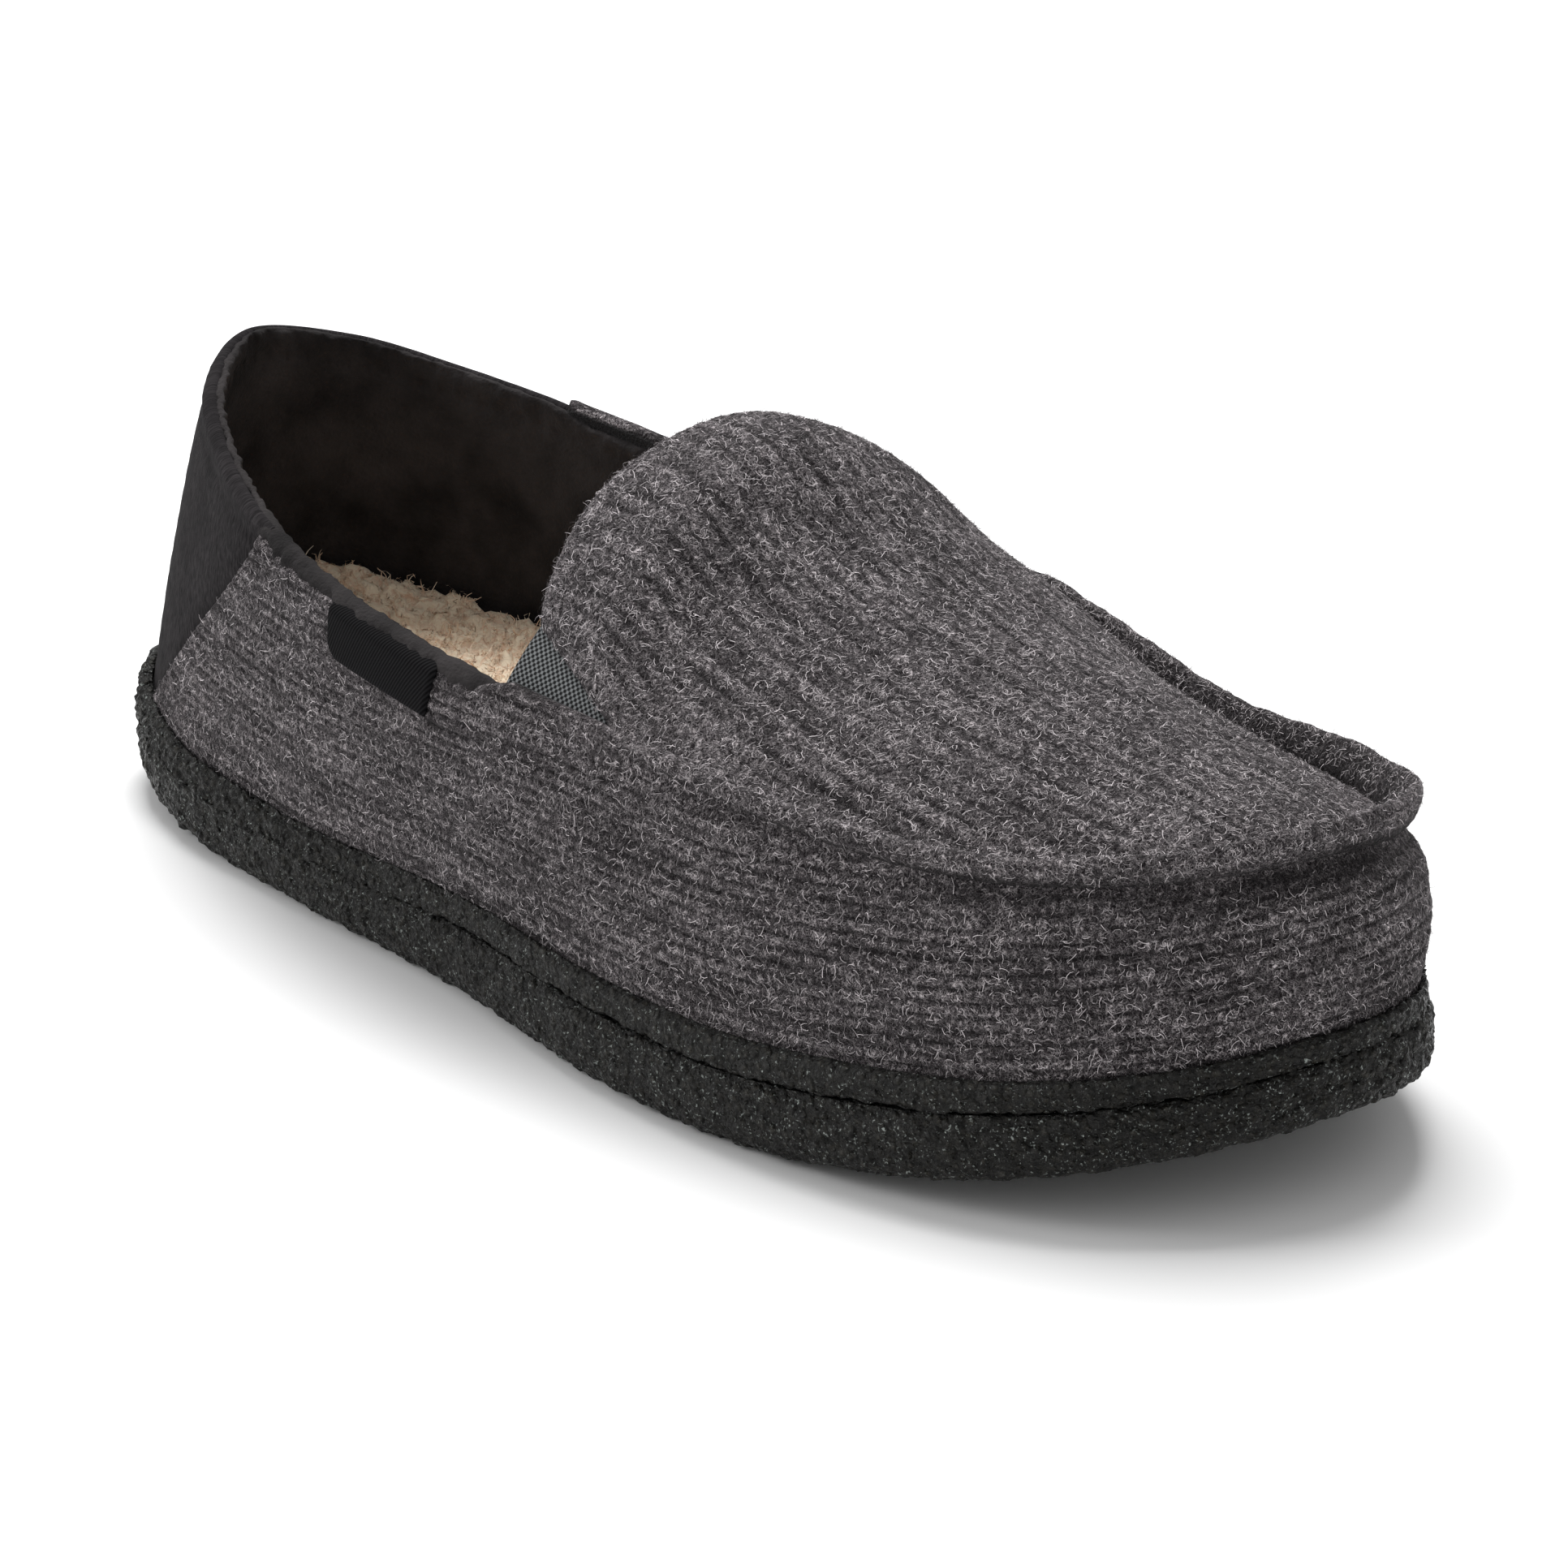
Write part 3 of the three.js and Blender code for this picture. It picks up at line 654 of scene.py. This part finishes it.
outer_face = (slice(end_columns, -end_columns), slice(rows_up))
outside = side_wall[outer_face].copy()
around = post[outer_face]
seen = np.where(around < 10.6, 1, 0.4) * (0.1 + side_shade[outer_face] ** 2) * (1 - under_lip[outer_face])
beside_label = (around < label_gap["back"]) | (around > label_gap["front"])
seen = seen * (beside_label | (below_top[outer_face] > label_gap["drop"]))
make_hairs(
    "side_fuzz", outside, side_hairs, wool,
    seed=11, length=1.9, lift=0.28, curl=0.8, width=0.12, weight=seen,
)
make_hairs(
    "side_halo", outside, side_long_hairs, wool,
    seed=13, length=2.2, lift=1.3, curl=0.9, width=0.06, weight=seen,
)

# Upper, the vamp
# One piece of the same knit over the foot, its ribs running from the toe to the tongue. It is thicker
# and softly rolled at the tongue's free edge, and its border dips before it meets the raised seam.
instep_rise = 89
tongue_corner = {"outer": (-0.027, -0.34, 0.66), "inner": (-0.027, 0.385, 0.685)}
crown_posts = np.array([
    (-0.046, 0.042, 0.948), (0.017, 0.038, 0.945), (0.079, 0.048, 0.79),
    (0.198, 0.045, 0.67), (0.297, 0.055, 0.575), (0.376, 0.08, 0.495),
])
crown_fullness = (0.72, 0.8, 0.9, 0.98, 0.96, 0.95)
toe_post = 9
vamp_end = 5.93
vamp_rib_pitch = 4.0
tongue_roll = 1.8
valley_depth = 0.8
valley_middle = 6.5
valley_width = 3.5
gore_crease = {"depth": 1.1, "from_crown": 22, "slant": 7, "width": 2.4, "row": 2.5, "reach": 0.7}
cross_crease = {"depth": 0.8, "slant": 0.012, "row": 2.3, "width": 0.22, "from_crown": -38, "reach": 18}
vamp_rows = 180
columns = 240
columns_in = 60
side_rounds = 5
end_rings = 8
row_length = 27
trace_steps = 301
vamp_hairs = 23500
vamp_long_hairs = 3000

crown_points = place_above(crown_posts[:, 0], crown_posts[:, 1], crown_posts[:, 2] * instep_rise)
crown_points = np.vstack([crown_points, top_at(np.array([toe_post]))])


def vamp_edge_at(row, side):
    """Edge of the vamp: down along the gore to its tip, then forward on the top of the side wall."""
    along, across, share = tongue_corner[side]
    corner = place_above(along, across, share * instep_rise)
    tip = seam_start[side]
    forward = top_at(tip + (toe_post - tip) * (np.maximum(row, 2) - 2) / 4)
    down = np.clip(row / 2, 0, 1)[..., None]
    return np.where(row[..., None] >= 2, forward, corner + (top_at(np.asarray(float(tip))) - corner) * down)


def vamp_at(row, across):
    """A place on the vamp: row 0 is the tongue's edge, across runs from the outer to the inner side."""
    row, across = np.broadcast_arrays(np.asarray(row, float), np.asarray(across, float))
    outer_edge = vamp_edge_at(row, "outer")
    inner_edge = vamp_edge_at(row, "inner")
    lift = curve_at(crown_points, row, False) - (outer_edge + inner_edge) / 2
    fullness = read_table(range(6), crown_fullness, row)
    arch = np.maximum(1 - across ** 2, 0) ** fullness
    return outer_edge + (inner_edge - outer_edge) * (across[..., None] + 1) / 2 + lift * arch[..., None]


rows = np.linspace(0.06, vamp_end, vamp_rows)[:, None]
fine = np.sin(np.linspace(-math.pi / 2, math.pi / 2, trace_steps))
trace = vamp_at(rows, fine)
run = np.linalg.norm(np.diff(trace, axis=1), axis=-1)
run = np.concatenate([np.zeros((len(rows), 1)), np.cumsum(run, 1)], 1)
spot = np.linspace(0, 1, columns)
across = np.stack([np.interp(spot * line[-1], line, fine) for line in run])
forward = 0.12 * hump(across, 0.1, 0.5) - 0.06 * hump(across, -0.65, 0.25)
at_back = np.clip(1 - rows / 1.5, 0, 1) ** 2
from_crown = np.stack([spot * line[-1] - line[trace_steps // 2] for line in run])
from_edge = np.stack([np.minimum(spot, 1 - spot) * line[-1] for line in run])
face = vamp_at(rows + forward * at_back, across)
normal = unit(np.cross(np.gradient(face, axis=0), np.gradient(face, axis=1)))
seam_here = np.clip((rows - 1.9) / 0.8, 0, 1)
ribs = rib_wave(from_crown + 0.5 * lumps(face, 30), vamp_rib_pitch)
ribs = 0.75 + (ribs - 0.75) * np.clip(0.75 + 0.9 * lumps(face, 9), 0.3, 1.05)
calm = 1 - 0.8 * np.exp(-(from_edge / 4.5) ** 2)
calm = calm * np.clip(rows / 0.25, 0.35, 1)
relief = rib_depth * 0.8 * (ribs - 0.6) * calm + knit_grain * lumps(face, 1.5)
relief = relief - valley_depth * hump(from_edge, valley_middle, valley_width) * seam_here
relief = relief + 0.5 * lumps(face, 28)
beside = from_crown + gore_crease["from_crown"] - gore_crease["slant"] * (rows - 2)
crease = hump(beside, 0, gore_crease["width"]) * hump(rows, gore_crease["row"], gore_crease["reach"])
relief = relief - gore_crease["depth"] * crease
crease = hump(rows + cross_crease["slant"] * from_crown, cross_crease["row"], cross_crease["width"])
crease = crease * hump(from_crown, cross_crease["from_crown"], cross_crease["reach"])
relief = relief - cross_crease["depth"] * crease
thick = (knit_wall + tongue_roll * np.clip(1 - rows * 1.2, 0, 1))[..., None]
outside = face + normal * relief[..., None]
spots_in = np.linspace(columns - 1, 0, columns_in).astype(int)
inside = (face - normal * thick)[:, spots_in]
middle_out = face - normal * thick / 2
middle_in = middle_out[:, spots_in]


def rounded_side(last, before, under):
    """Half a turn round the border, from the outer face to the inner one."""
    half = (last - under) / 2
    reach = unit(last - before) * np.linalg.norm(half, axis=-1, keepdims=True) * 0.7
    middle = (last + under) / 2
    turns = np.linspace(0, math.pi, side_rounds + 2)[1:-1]
    return np.stack([middle + half * math.cos(turn) + reach * math.sin(turn) for turn in turns], 1)


far = rounded_side(outside[:, -1], outside[:, -3], inside[:, 0])
close = rounded_side(outside[:, 0], outside[:, 2], inside[:, -1])[:, ::-1]
rings = np.concatenate([outside, far, inside, close], 1)
middle = np.concatenate([
    middle_out,
    np.repeat(middle_out[:, -1:], side_rounds, 1),
    middle_in,
    np.repeat(middle_out[:, :1], side_rounds, 1),
], 1)


def cap_rings(ring, centre, away, reach):
    """Rings that close an end in a soft round, from the outermost to the full section."""
    turns = np.linspace(math.pi / 2, 0, end_rings + 1)[:-1]
    return np.stack([
        centre + (ring - centre) * math.cos(turn) + away * reach * math.sin(turn) for turn in turns
    ])


back = unit(middle[0] - middle[2])
front = unit(middle[-1] - middle[-3])
vamp_points = np.concatenate([
    cap_rings(rings[0], middle[0], back, 2.2),
    rings,
    cap_rings(rings[-1], middle[-1], front, 1.0)[::-1],
])
vamp_shade = np.full(vamp_points.shape[:2], 0.75)
between = slice(end_rings, -end_rings)
# Painted shade for the knit: darker in the rib furrows, fading out near the borders and the tongue's edge.
vamp_shade[between, :columns] = ribs * calm + 1 - calm
vamp_shade[between, columns + side_rounds:columns + side_rounds + columns_in] = lined_mark
vamp_shade[:end_rings, :columns] = vamp_shade[end_rings, :columns]
vamp_place = np.zeros(vamp_points.shape[:2] + (2,))
vamp_place[between, :columns] = np.stack([rows * row_length + 0 * from_crown, from_crown], -1)
grid_piece("vamp_knit", vamp_points, knit, "knit", vamp_shade, vamp_place, round_rows=False)

outside = vamp_points[:-end_rings, :columns]
seen = 0.1 + vamp_shade[:-end_rings, :columns] ** 2
make_hairs(
    "vamp_fuzz", outside, vamp_hairs, wool,
    seed=21, length=1.8, lift=0.38, curl=0.8, width=0.12, weight=seen,
)
make_hairs(
    "vamp_halo", outside, vamp_long_hairs, wool,
    seed=23, length=2.2, lift=1.3, curl=0.9, width=0.06,
)

# Upper, the raised seam
# The edges of vamp and side wall are pinched together and stand up as a soft lip round the toe. It is
# low beside the gores and full at the toe, and its rim is fuzzy.
seam_thickness = 5
seam_height = 8
seam_sink = 2
seam_lean = 0.45
seam_posts = (5, 6, 7, 8, 9, 10, 11, 12, 13)
seam_shares = (0.25, 0.45, 0.56, 0.72, 0.9, 1, 0.85, 0.6, 0.25)
seam_taper = 0.18
seam_steps = 430
seam_columns = 26
seam_hairs = 7000

post = np.linspace(seam_start["outer"] - 0.05, seam_start["inner"] + 0.05, seam_steps)
out = outward_of(top_at, post)
lean = unit(out * seam_lean + np.array([0, 0, 1]))
full = toe_bulge(post)
middle = top_at(post) + out * (1.3 * full - 0.25 * seam_thickness)[:, None]
tall = seam_height * read_table(seam_posts, seam_shares, post)
tall = tall + 0.35 * lumps(middle, 9) + 0.3 * lumps(middle, 4)
taper = np.sqrt(np.clip(np.minimum(post - post[0], post[-1] - post) / seam_taper, 0, 1))
centre = middle + lean * ((tall - seam_sink) / 2)[:, None]
angle = np.linspace(0, 2 * math.pi, seam_columns, endpoint=False)
high = lean[:, None] * (np.sin(angle)[:, None] * ((tall + seam_sink) / 2 * taper)[:, None, None])
wide = out[:, None] * (np.cos(angle)[:, None] * (seam_thickness / 2 * taper)[:, None, None])
lip = centre[:, None] + high + wide
lip = lip + unit(lip - centre[:, None]) * (knit_grain * lumps(lip, 1.4) + 0.2 * lumps(lip, 3.5))[..., None]
# Painted shade on the lip: darker on its underside, and on the inner face of its far side, which faces away
# from the light.
lip_shade = 0.85 - 0.75 * np.clip(0.2 - np.sin(angle), 0, 1)[None, :] * np.ones((len(post), 1))
far_side = np.clip((post - 9.1) / 0.6, 0, 1)[:, None]
lip_shade = lip_shade - 0.75 * far_side * np.clip(0.35 - np.cos(angle), 0, 1)[None, :]
lip_shade = np.clip(lip_shade, 0, 1)
lip_place = np.stack(np.broadcast_arrays(post[:, None] * post_length, angle * 2), -1)
grid_piece("seam_lip", lip, knit, "knit", lip_shade, lip_place, round_rows=False)
top_half = lip[:, :seam_columns // 2 + 1]
make_hairs(
    "seam_fuzz", top_half, seam_hairs, wool,
    seed=31, length=1.6, lift=0.4, curl=0.7, width=0.1,
)

# Heel panel
# The back of the upper is a brushed microsuede in near black, sewn under the slanted ends of the knit
# and turned over at the top edge.
heel_wall = 2.6
suede_dark = (0.006, 0.0053, 0.0058, 1)
suede_light = (0.036, 0.032, 0.034, 1)
turned_edge = 1.3
panel_length = 150
panel_columns = 190
tuck_depth = 0.9
tuck_width = 3
heel_rows = 84

shares = np.linspace(0, 1, panel_columns)
up, roll = climb_over_edge(heel_rows)
start = joint_post(heel_joint["inner_top"], heel_joint["inner_foot"], up, -1.5) - last_post
end = joint_post(heel_joint["outer_top"], heel_joint["outer_foot"], up, 1.5)
post = start + (end - start) * shares[:, None]
height = height_at(post)
climb = up * (1 - turned_edge / height) + np.sin(roll) * turned_edge / height
outer = (np.cos(roll) + 1) / 2
wave = wall_at(post, climb, 0.0)
ends = np.minimum(shares, 1 - shares)[:, None]
tuck = tuck_depth * np.exp(-(ends * panel_length / tuck_width) ** 2)
soft = 0.45 * lumps(wave, 24) + 0.10 * lumps(wave, 2.2)
hem = 0.35 * hump((1 - climb) * height, 1.6, 1.3) - 0.25 * hump((1 - climb) * height, 4.6, 1.0)
stand = -heel_wall * (1 - outer) + outer * (soft + hem) - tuck * outer
panel = wall_at(post, climb, stand)
flat_place = np.stack([post * 38, climb * height], -1)

suede, shader = new_material("suede", 0.95, sheen=0.03, specular=0.03)
tree = suede.node_tree
where = add_node(tree, "TexCoord", {}, output=2)
stretched = add_node(tree, "VectorMath", {0: where, 1: (1.1, 0.35, 1)}, operation="MULTIPLY")
nap = add_node(tree, "TexNoise", {"Vector": stretched, "Scale": 1.6, "Detail": 4, "Distortion": 0.6})
patch = cloud(tree, 9, 3)
tone = times(tree, spread(tree, nap, 0.3, 0.7), spread(tree, patch, 0.3, 0.7, 0.5, 1.1))
colour = add_node(tree, "MixRGB", {0: tone, 1: suede_dark, 2: suede_light})
paint(tree, shader, colour, nap, 0.25)
heel = grid_piece("heel_suede", panel, suede, "suede", place=flat_place, round_rows=False)
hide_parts("heel_panel")

# Lining
# Short black plush lines the quarters, the heel and the underside of the vamp. At the outer quarter it
# rolls over the knit's edge as a bumpy bead, and a row of stitches runs below the collar.
lining_wall = 1.1
bead_across = 2.2
lining_dark = (0.013, 0.0122, 0.0125, 1)
lining_light = (0.046, 0.0415, 0.042, 1)
lining_foot = 0.16
stitch_drop = 5.2
stitch_depth = 0.55
lining_steps = 520
stitch_pitch = 4.2

plush, shader = new_material("plush", 0.95, sheen=0.02, specular=0.04)
tree = plush.node_tree
tone = spread(tree, cloud(tree, 12, 5), 0.3, 0.75)
colour = add_node(tree, "MixRGB", {0: tone, 1: lining_dark, 2: lining_light})
paint(tree, shader, colour, cloud(tree, 0.7, 3), 0.4)

post = np.linspace(seam_start["inner"] + 0.35 - last_post, seam_start["outer"] - 0.35, lining_steps)
post = post[:, None]
on_knit = np.clip((np.abs(post) - 2.55) / 0.25, 0, 1)
wall = heel_wall + (knit_wall - heel_wall) * on_knit
outer_knit = on_knit * (post > 0) * bead_share(post)
bead = 0.75 + (bead_across - 0.75) * outer_knit
height = height_at(post)
bead_middle = -wall - 0.2 + outer_knit * (wall / 2 - 0.5)
sunk = 1.6 * np.where(post < 0, on_knit, 1 - bead_share(post))
turn = np.linspace(math.pi, -0.35 * math.pi, 12)[None, :]
inner_climb = np.linspace(lining_foot, 1, 36)[None, :-1] * (1 - (bead + sunk) / height)
inner_stand = -wall - lining_wall + 0 * inner_climb
bead_climb = 1 - (bead + sunk) / height + np.sin(turn) * bead * 0.95 / height
bead_stand = bead_middle + np.cos(turn) * bead * 0.95
bead_stand[:, 0] = (bead_stand[:, 0] + inner_stand[:, -1]) / 2
back_climb = np.linspace(0.9, lining_foot, 4)[None, :] + 0 * height
back_stand = -wall - 0.05 + 0 * back_climb
climb = np.concatenate([inner_climb, bead_climb, back_climb], 1)
stand = np.concatenate([inner_stand, bead_stand, back_stand], 1)
wave = wall_at(post, climb, stand)
bumps = 0.42 * lumps(wave, 2.2) + 0.25 * lumps(wave, 1.1)
in_bead = np.zeros(climb.shape[1])
in_bead[inner_climb.shape[1] - 1:inner_climb.shape[1] + bead_climb.shape[1] - 1] = 1
run = np.linalg.norm(np.diff(top_at(post[:, 0]), axis=0), axis=-1)
run = np.concatenate([[0], np.cumsum(run)])[:, None]
dash = np.clip(3 * np.sin(2 * math.pi * run / stitch_pitch) + 1.4, 0, 1)
groove = -stitch_depth * hump((1 - climb) * height, stitch_drop, 0.7) * (1 - in_bead) * dash
groove[:, -back_climb.shape[1]:] = 0
stand = stand + bumps * (0.35 + 1.4 * in_bead) - groove
lining = wall_at(post, climb, stand)
grid_piece("plush_lining", lining, plush, "suede", round_rows=False)

# Gores
# A wedge of slate-grey elastic webbing closes the gap between each quarter and the tongue. It is cut
# from a plain weave ribbon and sewn under both edges.
gore_wall = 1.8
quarter_end = {"outer": 4.4, "inner": 13.6}
gore_first = 0.05
gore_steps = 44
gore_rows = 40
weave_pitch = 1.3
webbing_dark = (0.006, 0.0065, 0.007, 1)
webbing_light = (0.19, 0.198, 0.202, 1)

webbing, shader = new_material("webbing", 0.75, specular=0.15)
tree = webbing.node_tree
where = add_node(tree, "TexCoord", {}, output=2)
across_thread, along_thread = [
    add_node(tree, "SeparateXYZ", {0: where}, output=axis) for axis in (0, 1)
]
waves = []
for thread in (across_thread, along_thread):
    turned = add_node(tree, "Math", {0: thread, 1: 2 * math.pi / weave_pitch}, operation="MULTIPLY")
    waves.append(add_node(tree, "Math", {0: turned}, operation="COSINE"))
grid = add_node(tree, "Math", {0: waves[0], 1: waves[1]}, operation="MULTIPLY")
grid = spread(tree, grid, -0.4, 0.35)
colour = add_node(tree, "MixRGB", {0: grid, 1: webbing_dark, 2: webbing_light})
paint(tree, shader, colour, grid, 0.3)


def make_ribbon(name, face, under, material, slot, place):
    """A ribbon with an outer and an inner face, closed all round."""
    sheet = np.concatenate([face, under[:, ::-1]], 1)
    ends = [end * 0.5 + end[:, ::-1] * 0.5 for end in (sheet[:1], sheet[-1:])]
    sheet = np.concatenate([ends[0], sheet, ends[1]])
    place = np.concatenate([place, place[:, ::-1]], 1)
    place = np.concatenate([place[:1], place, place[-1:]])
    return grid_piece(name, sheet, material, slot, place=place, round_rows=False)


gores = (("outer", "gore_web_outer", "gore_lateral"), ("inner", "gore_web_inner", "gore_medial"))
for side, name, node in gores:
    share = np.linspace(gore_first, 1, gore_steps)
    tip = seam_start[side]
    post = tip + (quarter_end[side] - tip) * share
    low = top_at(post) - np.array([0, 0, 2.5])
    edge = -1.0 if side == "outer" else 1.0
    row = np.maximum(2 * (1 - share), 0.04)
    high = vamp_at(row, np.full(row.shape, edge * 0.995))
    low_out = outward_of(top_at, post)
    high_out = unit(np.array([0, edge, 0.9]) + 0 * low_out)
    span = np.linspace(0, 1, gore_rows)[None, :, None]
    face = low[:, None] * (1 - span) + high[:, None] * span
    out = unit(low_out[:, None] * (1 - span) + high_out[:, None] * span)
    face = face - out * (0.9 - 0.5 * np.sin(np.pi * span))
    width = np.linalg.norm(high - low, axis=-1)
    length = np.r_[0, np.cumsum(np.linalg.norm(np.diff(low, axis=0), axis=-1))]
    place = np.stack(np.broadcast_arrays(length[:, None], width[:, None] * span[..., 0]), -1)
    web = make_ribbon(name, face, face - out * gore_wall, webbing, "webbing", place)
    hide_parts(node)

# Insole
# A padded footbed covered in curly cream pile, fitted from wall to wall and dished under the foot.
# It lies on the sole, and loose tufts stand up from it where the foot goes in.
insole_height = 16
insole_dish = 2.5
curl_size = 3.8
curl_depth = 1.5
insole_tufts = 13000
insole_steps = 460
top_rows = 52
pile_dark = (0.82, 0.56, 0.39, 1)
pile_light = (0.97, 0.82, 0.62, 1)

pile, shader = new_material("pile", 0.95, sheen=0.1, specular=0.1)
tree = pile.node_tree
curls = cloud(tree, 1.6, 3, 1.2)
tone = spread(tree, curls, 0.3, 0.62)
# Painted shade: the shade mark darkens the pile in the hollows between the raised curls.
depth = add_node(tree, "Attribute", {}, output=2, attribute_name="shade")
tone = add_node(tree, "Math", {0: tone, 1: depth}, operation="MULTIPLY")
tone = spread(tree, tone, 0.05, 0.55)
colour = add_node(tree, "MixRGB", {0: tone, 1: pile_dark, 2: pile_light})
paint(tree, shader, colour, curls, 0.6)

around = np.linspace(0, last_post, insole_steps, endpoint=False)
height = height_at(around)
side_stand = -knit_wall - 0.9
level = insole_height / height
rim = wall_at(around, level, side_stand - 1.5)
spine_x = np.clip(rim[:, 0], -0.33 * shoe_length, 0.33 * shoe_length)
spine = np.stack([spine_x, 0.02 * ball_width + 0 * spine_x, spring_at(spine_x) + side_at(spine_x)], -1)
spine[:, 2] += insole_height
reach = np.linspace(0, 1, top_rows)
dish = insole_dish * np.clip(reach / 0.35, 0, 1) ** 2 * (3 - 2 * np.clip(reach / 0.35, 0, 1))
top = rim[:, None] * (1 - reach[:, None]) + spine[:, None] * reach[:, None]
top[..., 2] -= dish
curl = lumps(top, curl_size)
small = lumps(top, 1.5)
calm = np.clip((1 - reach) / 0.1, 0, 1)
top[..., 2] += (curl_depth * np.abs(curl) * 2.4 + 0.35 * small) * calm - 0.4
foot = [wall_at(around, level * share, side_stand) for share in (0.85, 0.4, 0.02)]
base = wall_at(around, 0.0, side_stand - 6)
pad = np.concatenate([top[:, ::-1], np.stack(foot, 1), base[:, None]], 1)
pad_shade = np.full(pad.shape[:2], 0.7)
# Painted shade: lighter on the raised curls, darker in the hollows between them.
pad_shade[:, :top_rows] = np.clip(0.45 + 1.6 * np.abs(curl) + 0.4 * small, 0, 1)[:, ::-1]
insole = grid_piece("pile_insole", pad, pile, "fleece", pad_shade, round_columns=False)
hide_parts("insole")
tuft = make_fibre("pile_fibre", (0.78, 0.55, 0.39, 1), (1.0, 0.87, 0.69, 1))
open_part = (top[..., 0] < 0.12 * shoe_length).astype(float)
make_hairs(
    "pile_tufts", top, insole_tufts, tuft,
    seed=41, length=3.2, lift=0.45, curl=1.9, width=0.26, weight=open_part,
)

# Label
# A blank black ribbon with a fine slanted weave, sewn on the outer quarter under the lining's bead.
# Its lower corner towards the heel is cut round.
label_posts = {"back": 3.48, "front": 4.16}
label_drop = 11.2
label_wall = 0.5
label_corner = 4
label_lean = 0.075
label_stand = 0.6
label_fold = 75
tag_steps = 60
twill_pitch = 0.8
ribbon_dark = (0.0028, 0.0026, 0.003, 1)
ribbon_light = (0.014, 0.0134, 0.0143, 1)

ribbon, shader = new_material("ribbon", 0.7, specular=0.03)
tree = ribbon.node_tree
where = add_node(tree, "TexCoord", {}, output=2)
slant = add_node(tree, "VectorMath", {0: where, 1: (1, 0.6, 0)}, output=1, operation="DOT_PRODUCT")
turned = add_node(tree, "Math", {0: slant, 1: 2 * math.pi / twill_pitch}, operation="MULTIPLY")
twill = add_node(tree, "Math", {0: turned}, operation="SINE")
twill = spread(tree, twill, -1, 1)
colour = add_node(tree, "MixRGB", {0: twill, 1: ribbon_dark, 2: ribbon_light})
paint(tree, shader, colour, twill, 0.12)

post = np.linspace(label_posts["back"], label_posts["front"], tag_steps)[:, None]
along = np.linspace(0, 1, tag_steps) * np.linalg.norm(top_at(post[0]) - top_at(post[-1]))
corner = np.clip(1 - along / label_corner, 0, 1)
lower = label_drop - label_corner * (1 - np.sqrt(1 - corner ** 2))
span = np.linspace(0, 1, 26)[None, :]
drop = lower[:, None] * (1 - span) + piping_rise * span
border = np.minimum(np.minimum(along, along[-1] - along)[:, None], lower[:, None] - drop)
hem = np.sqrt(np.clip(border / 0.5, 0, 1))
fold = np.radians(np.linspace(0, label_fold, 8)[None, 1:])
drop = np.concatenate([drop, piping_rise + 0 * along[:, None] * fold], 1)
fold = np.concatenate([0 * span, fold], 1)
hem = np.concatenate([hem, hem[:, -1:] + 0 * fold[:, span.size:]], 1)
post = post - label_lean * (along / along[-1])[:, None] * drop / label_drop
height = height_at(post)
faces_of_tag = []
for stand in (label_stand + label_wall * hem, 0.15 + 0 * hem):
    reach = knit_wall / 2 + stand
    over = 0.7 * reach * np.sin(fold)
    faces_of_tag.append(wall_at(post, 1 - (drop - over) / height, reach * np.cos(fold) - knit_wall / 2))
place = np.stack(np.broadcast_arrays(along[:, None], drop - 2 * fold), -1)
label = make_ribbon("label_ribbon", *faces_of_tag, ribbon, "ribbon", place)
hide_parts("label")

# Floor, light and camera
# A white studio floor under one large soft light from above and a weaker one from the left. The
# camera looks down on the outer side from in front of the toe, through a long lens.
floor_size = 14
floor_colour = (0.93, 0.93, 0.93, 1)

bpy.ops.mesh.primitive_plane_add(size=floor_size, location=(0, 0, 0))
floor = bpy.context.object
floor.name = "floor"
white, shader = new_material("white_floor", 0.8, specular=0.2)
shader.inputs["Base Color"].default_value = floor_colour
floor.data.materials.append(white)

world = bpy.data.worlds.new("studio")
bpy.context.scene.world = world
world.use_nodes = True
world.node_tree.nodes["Background"].inputs["Color"].default_value = (1, 1, 1, 1)
world.node_tree.nodes["Background"].inputs["Strength"].default_value = 0.52

for name, place, size, power in (
    ("key_light", (-0.45, 0.4, 1.35), 0.8, 23),
    ("left_light", (-1.3, -1.1, 0.9), 0.7, 8.5),
):
    lamp_data = bpy.data.lights.new(name, "AREA")
    lamp_data.size = size
    lamp_data.energy = power
    lamp = bpy.data.objects.new(name, lamp_data)
    lamp.location = place
    lamp.rotation_euler = (-Vector(place)).to_track_quat("-Z", "Y").to_euler()
    bpy.context.scene.collection.objects.link(lamp)

camera_place = Vector((1051.4, -902.0, 600.0)) * millimetre
camera_aim = Vector((-2.6, 15.7, 28.1)) * millimetre
camera_roll = math.radians(-1.403)
camera_data = bpy.data.cameras.new("camera")
camera_data.lens = 193.25
camera_data.sensor_width = 36
camera = bpy.data.objects.new("camera", camera_data)
camera.location = camera_place
gaze = (camera_aim - camera_place).to_track_quat("-Z", "Y")
camera.rotation_mode = "QUATERNION"
camera.rotation_quaternion = gaze @ Quaternion((0, 0, 1), camera_roll)
bpy.context.scene.collection.objects.link(camera)
bpy.context.scene.camera = camera
bpy.context.scene.view_settings.view_transform = "Standard"
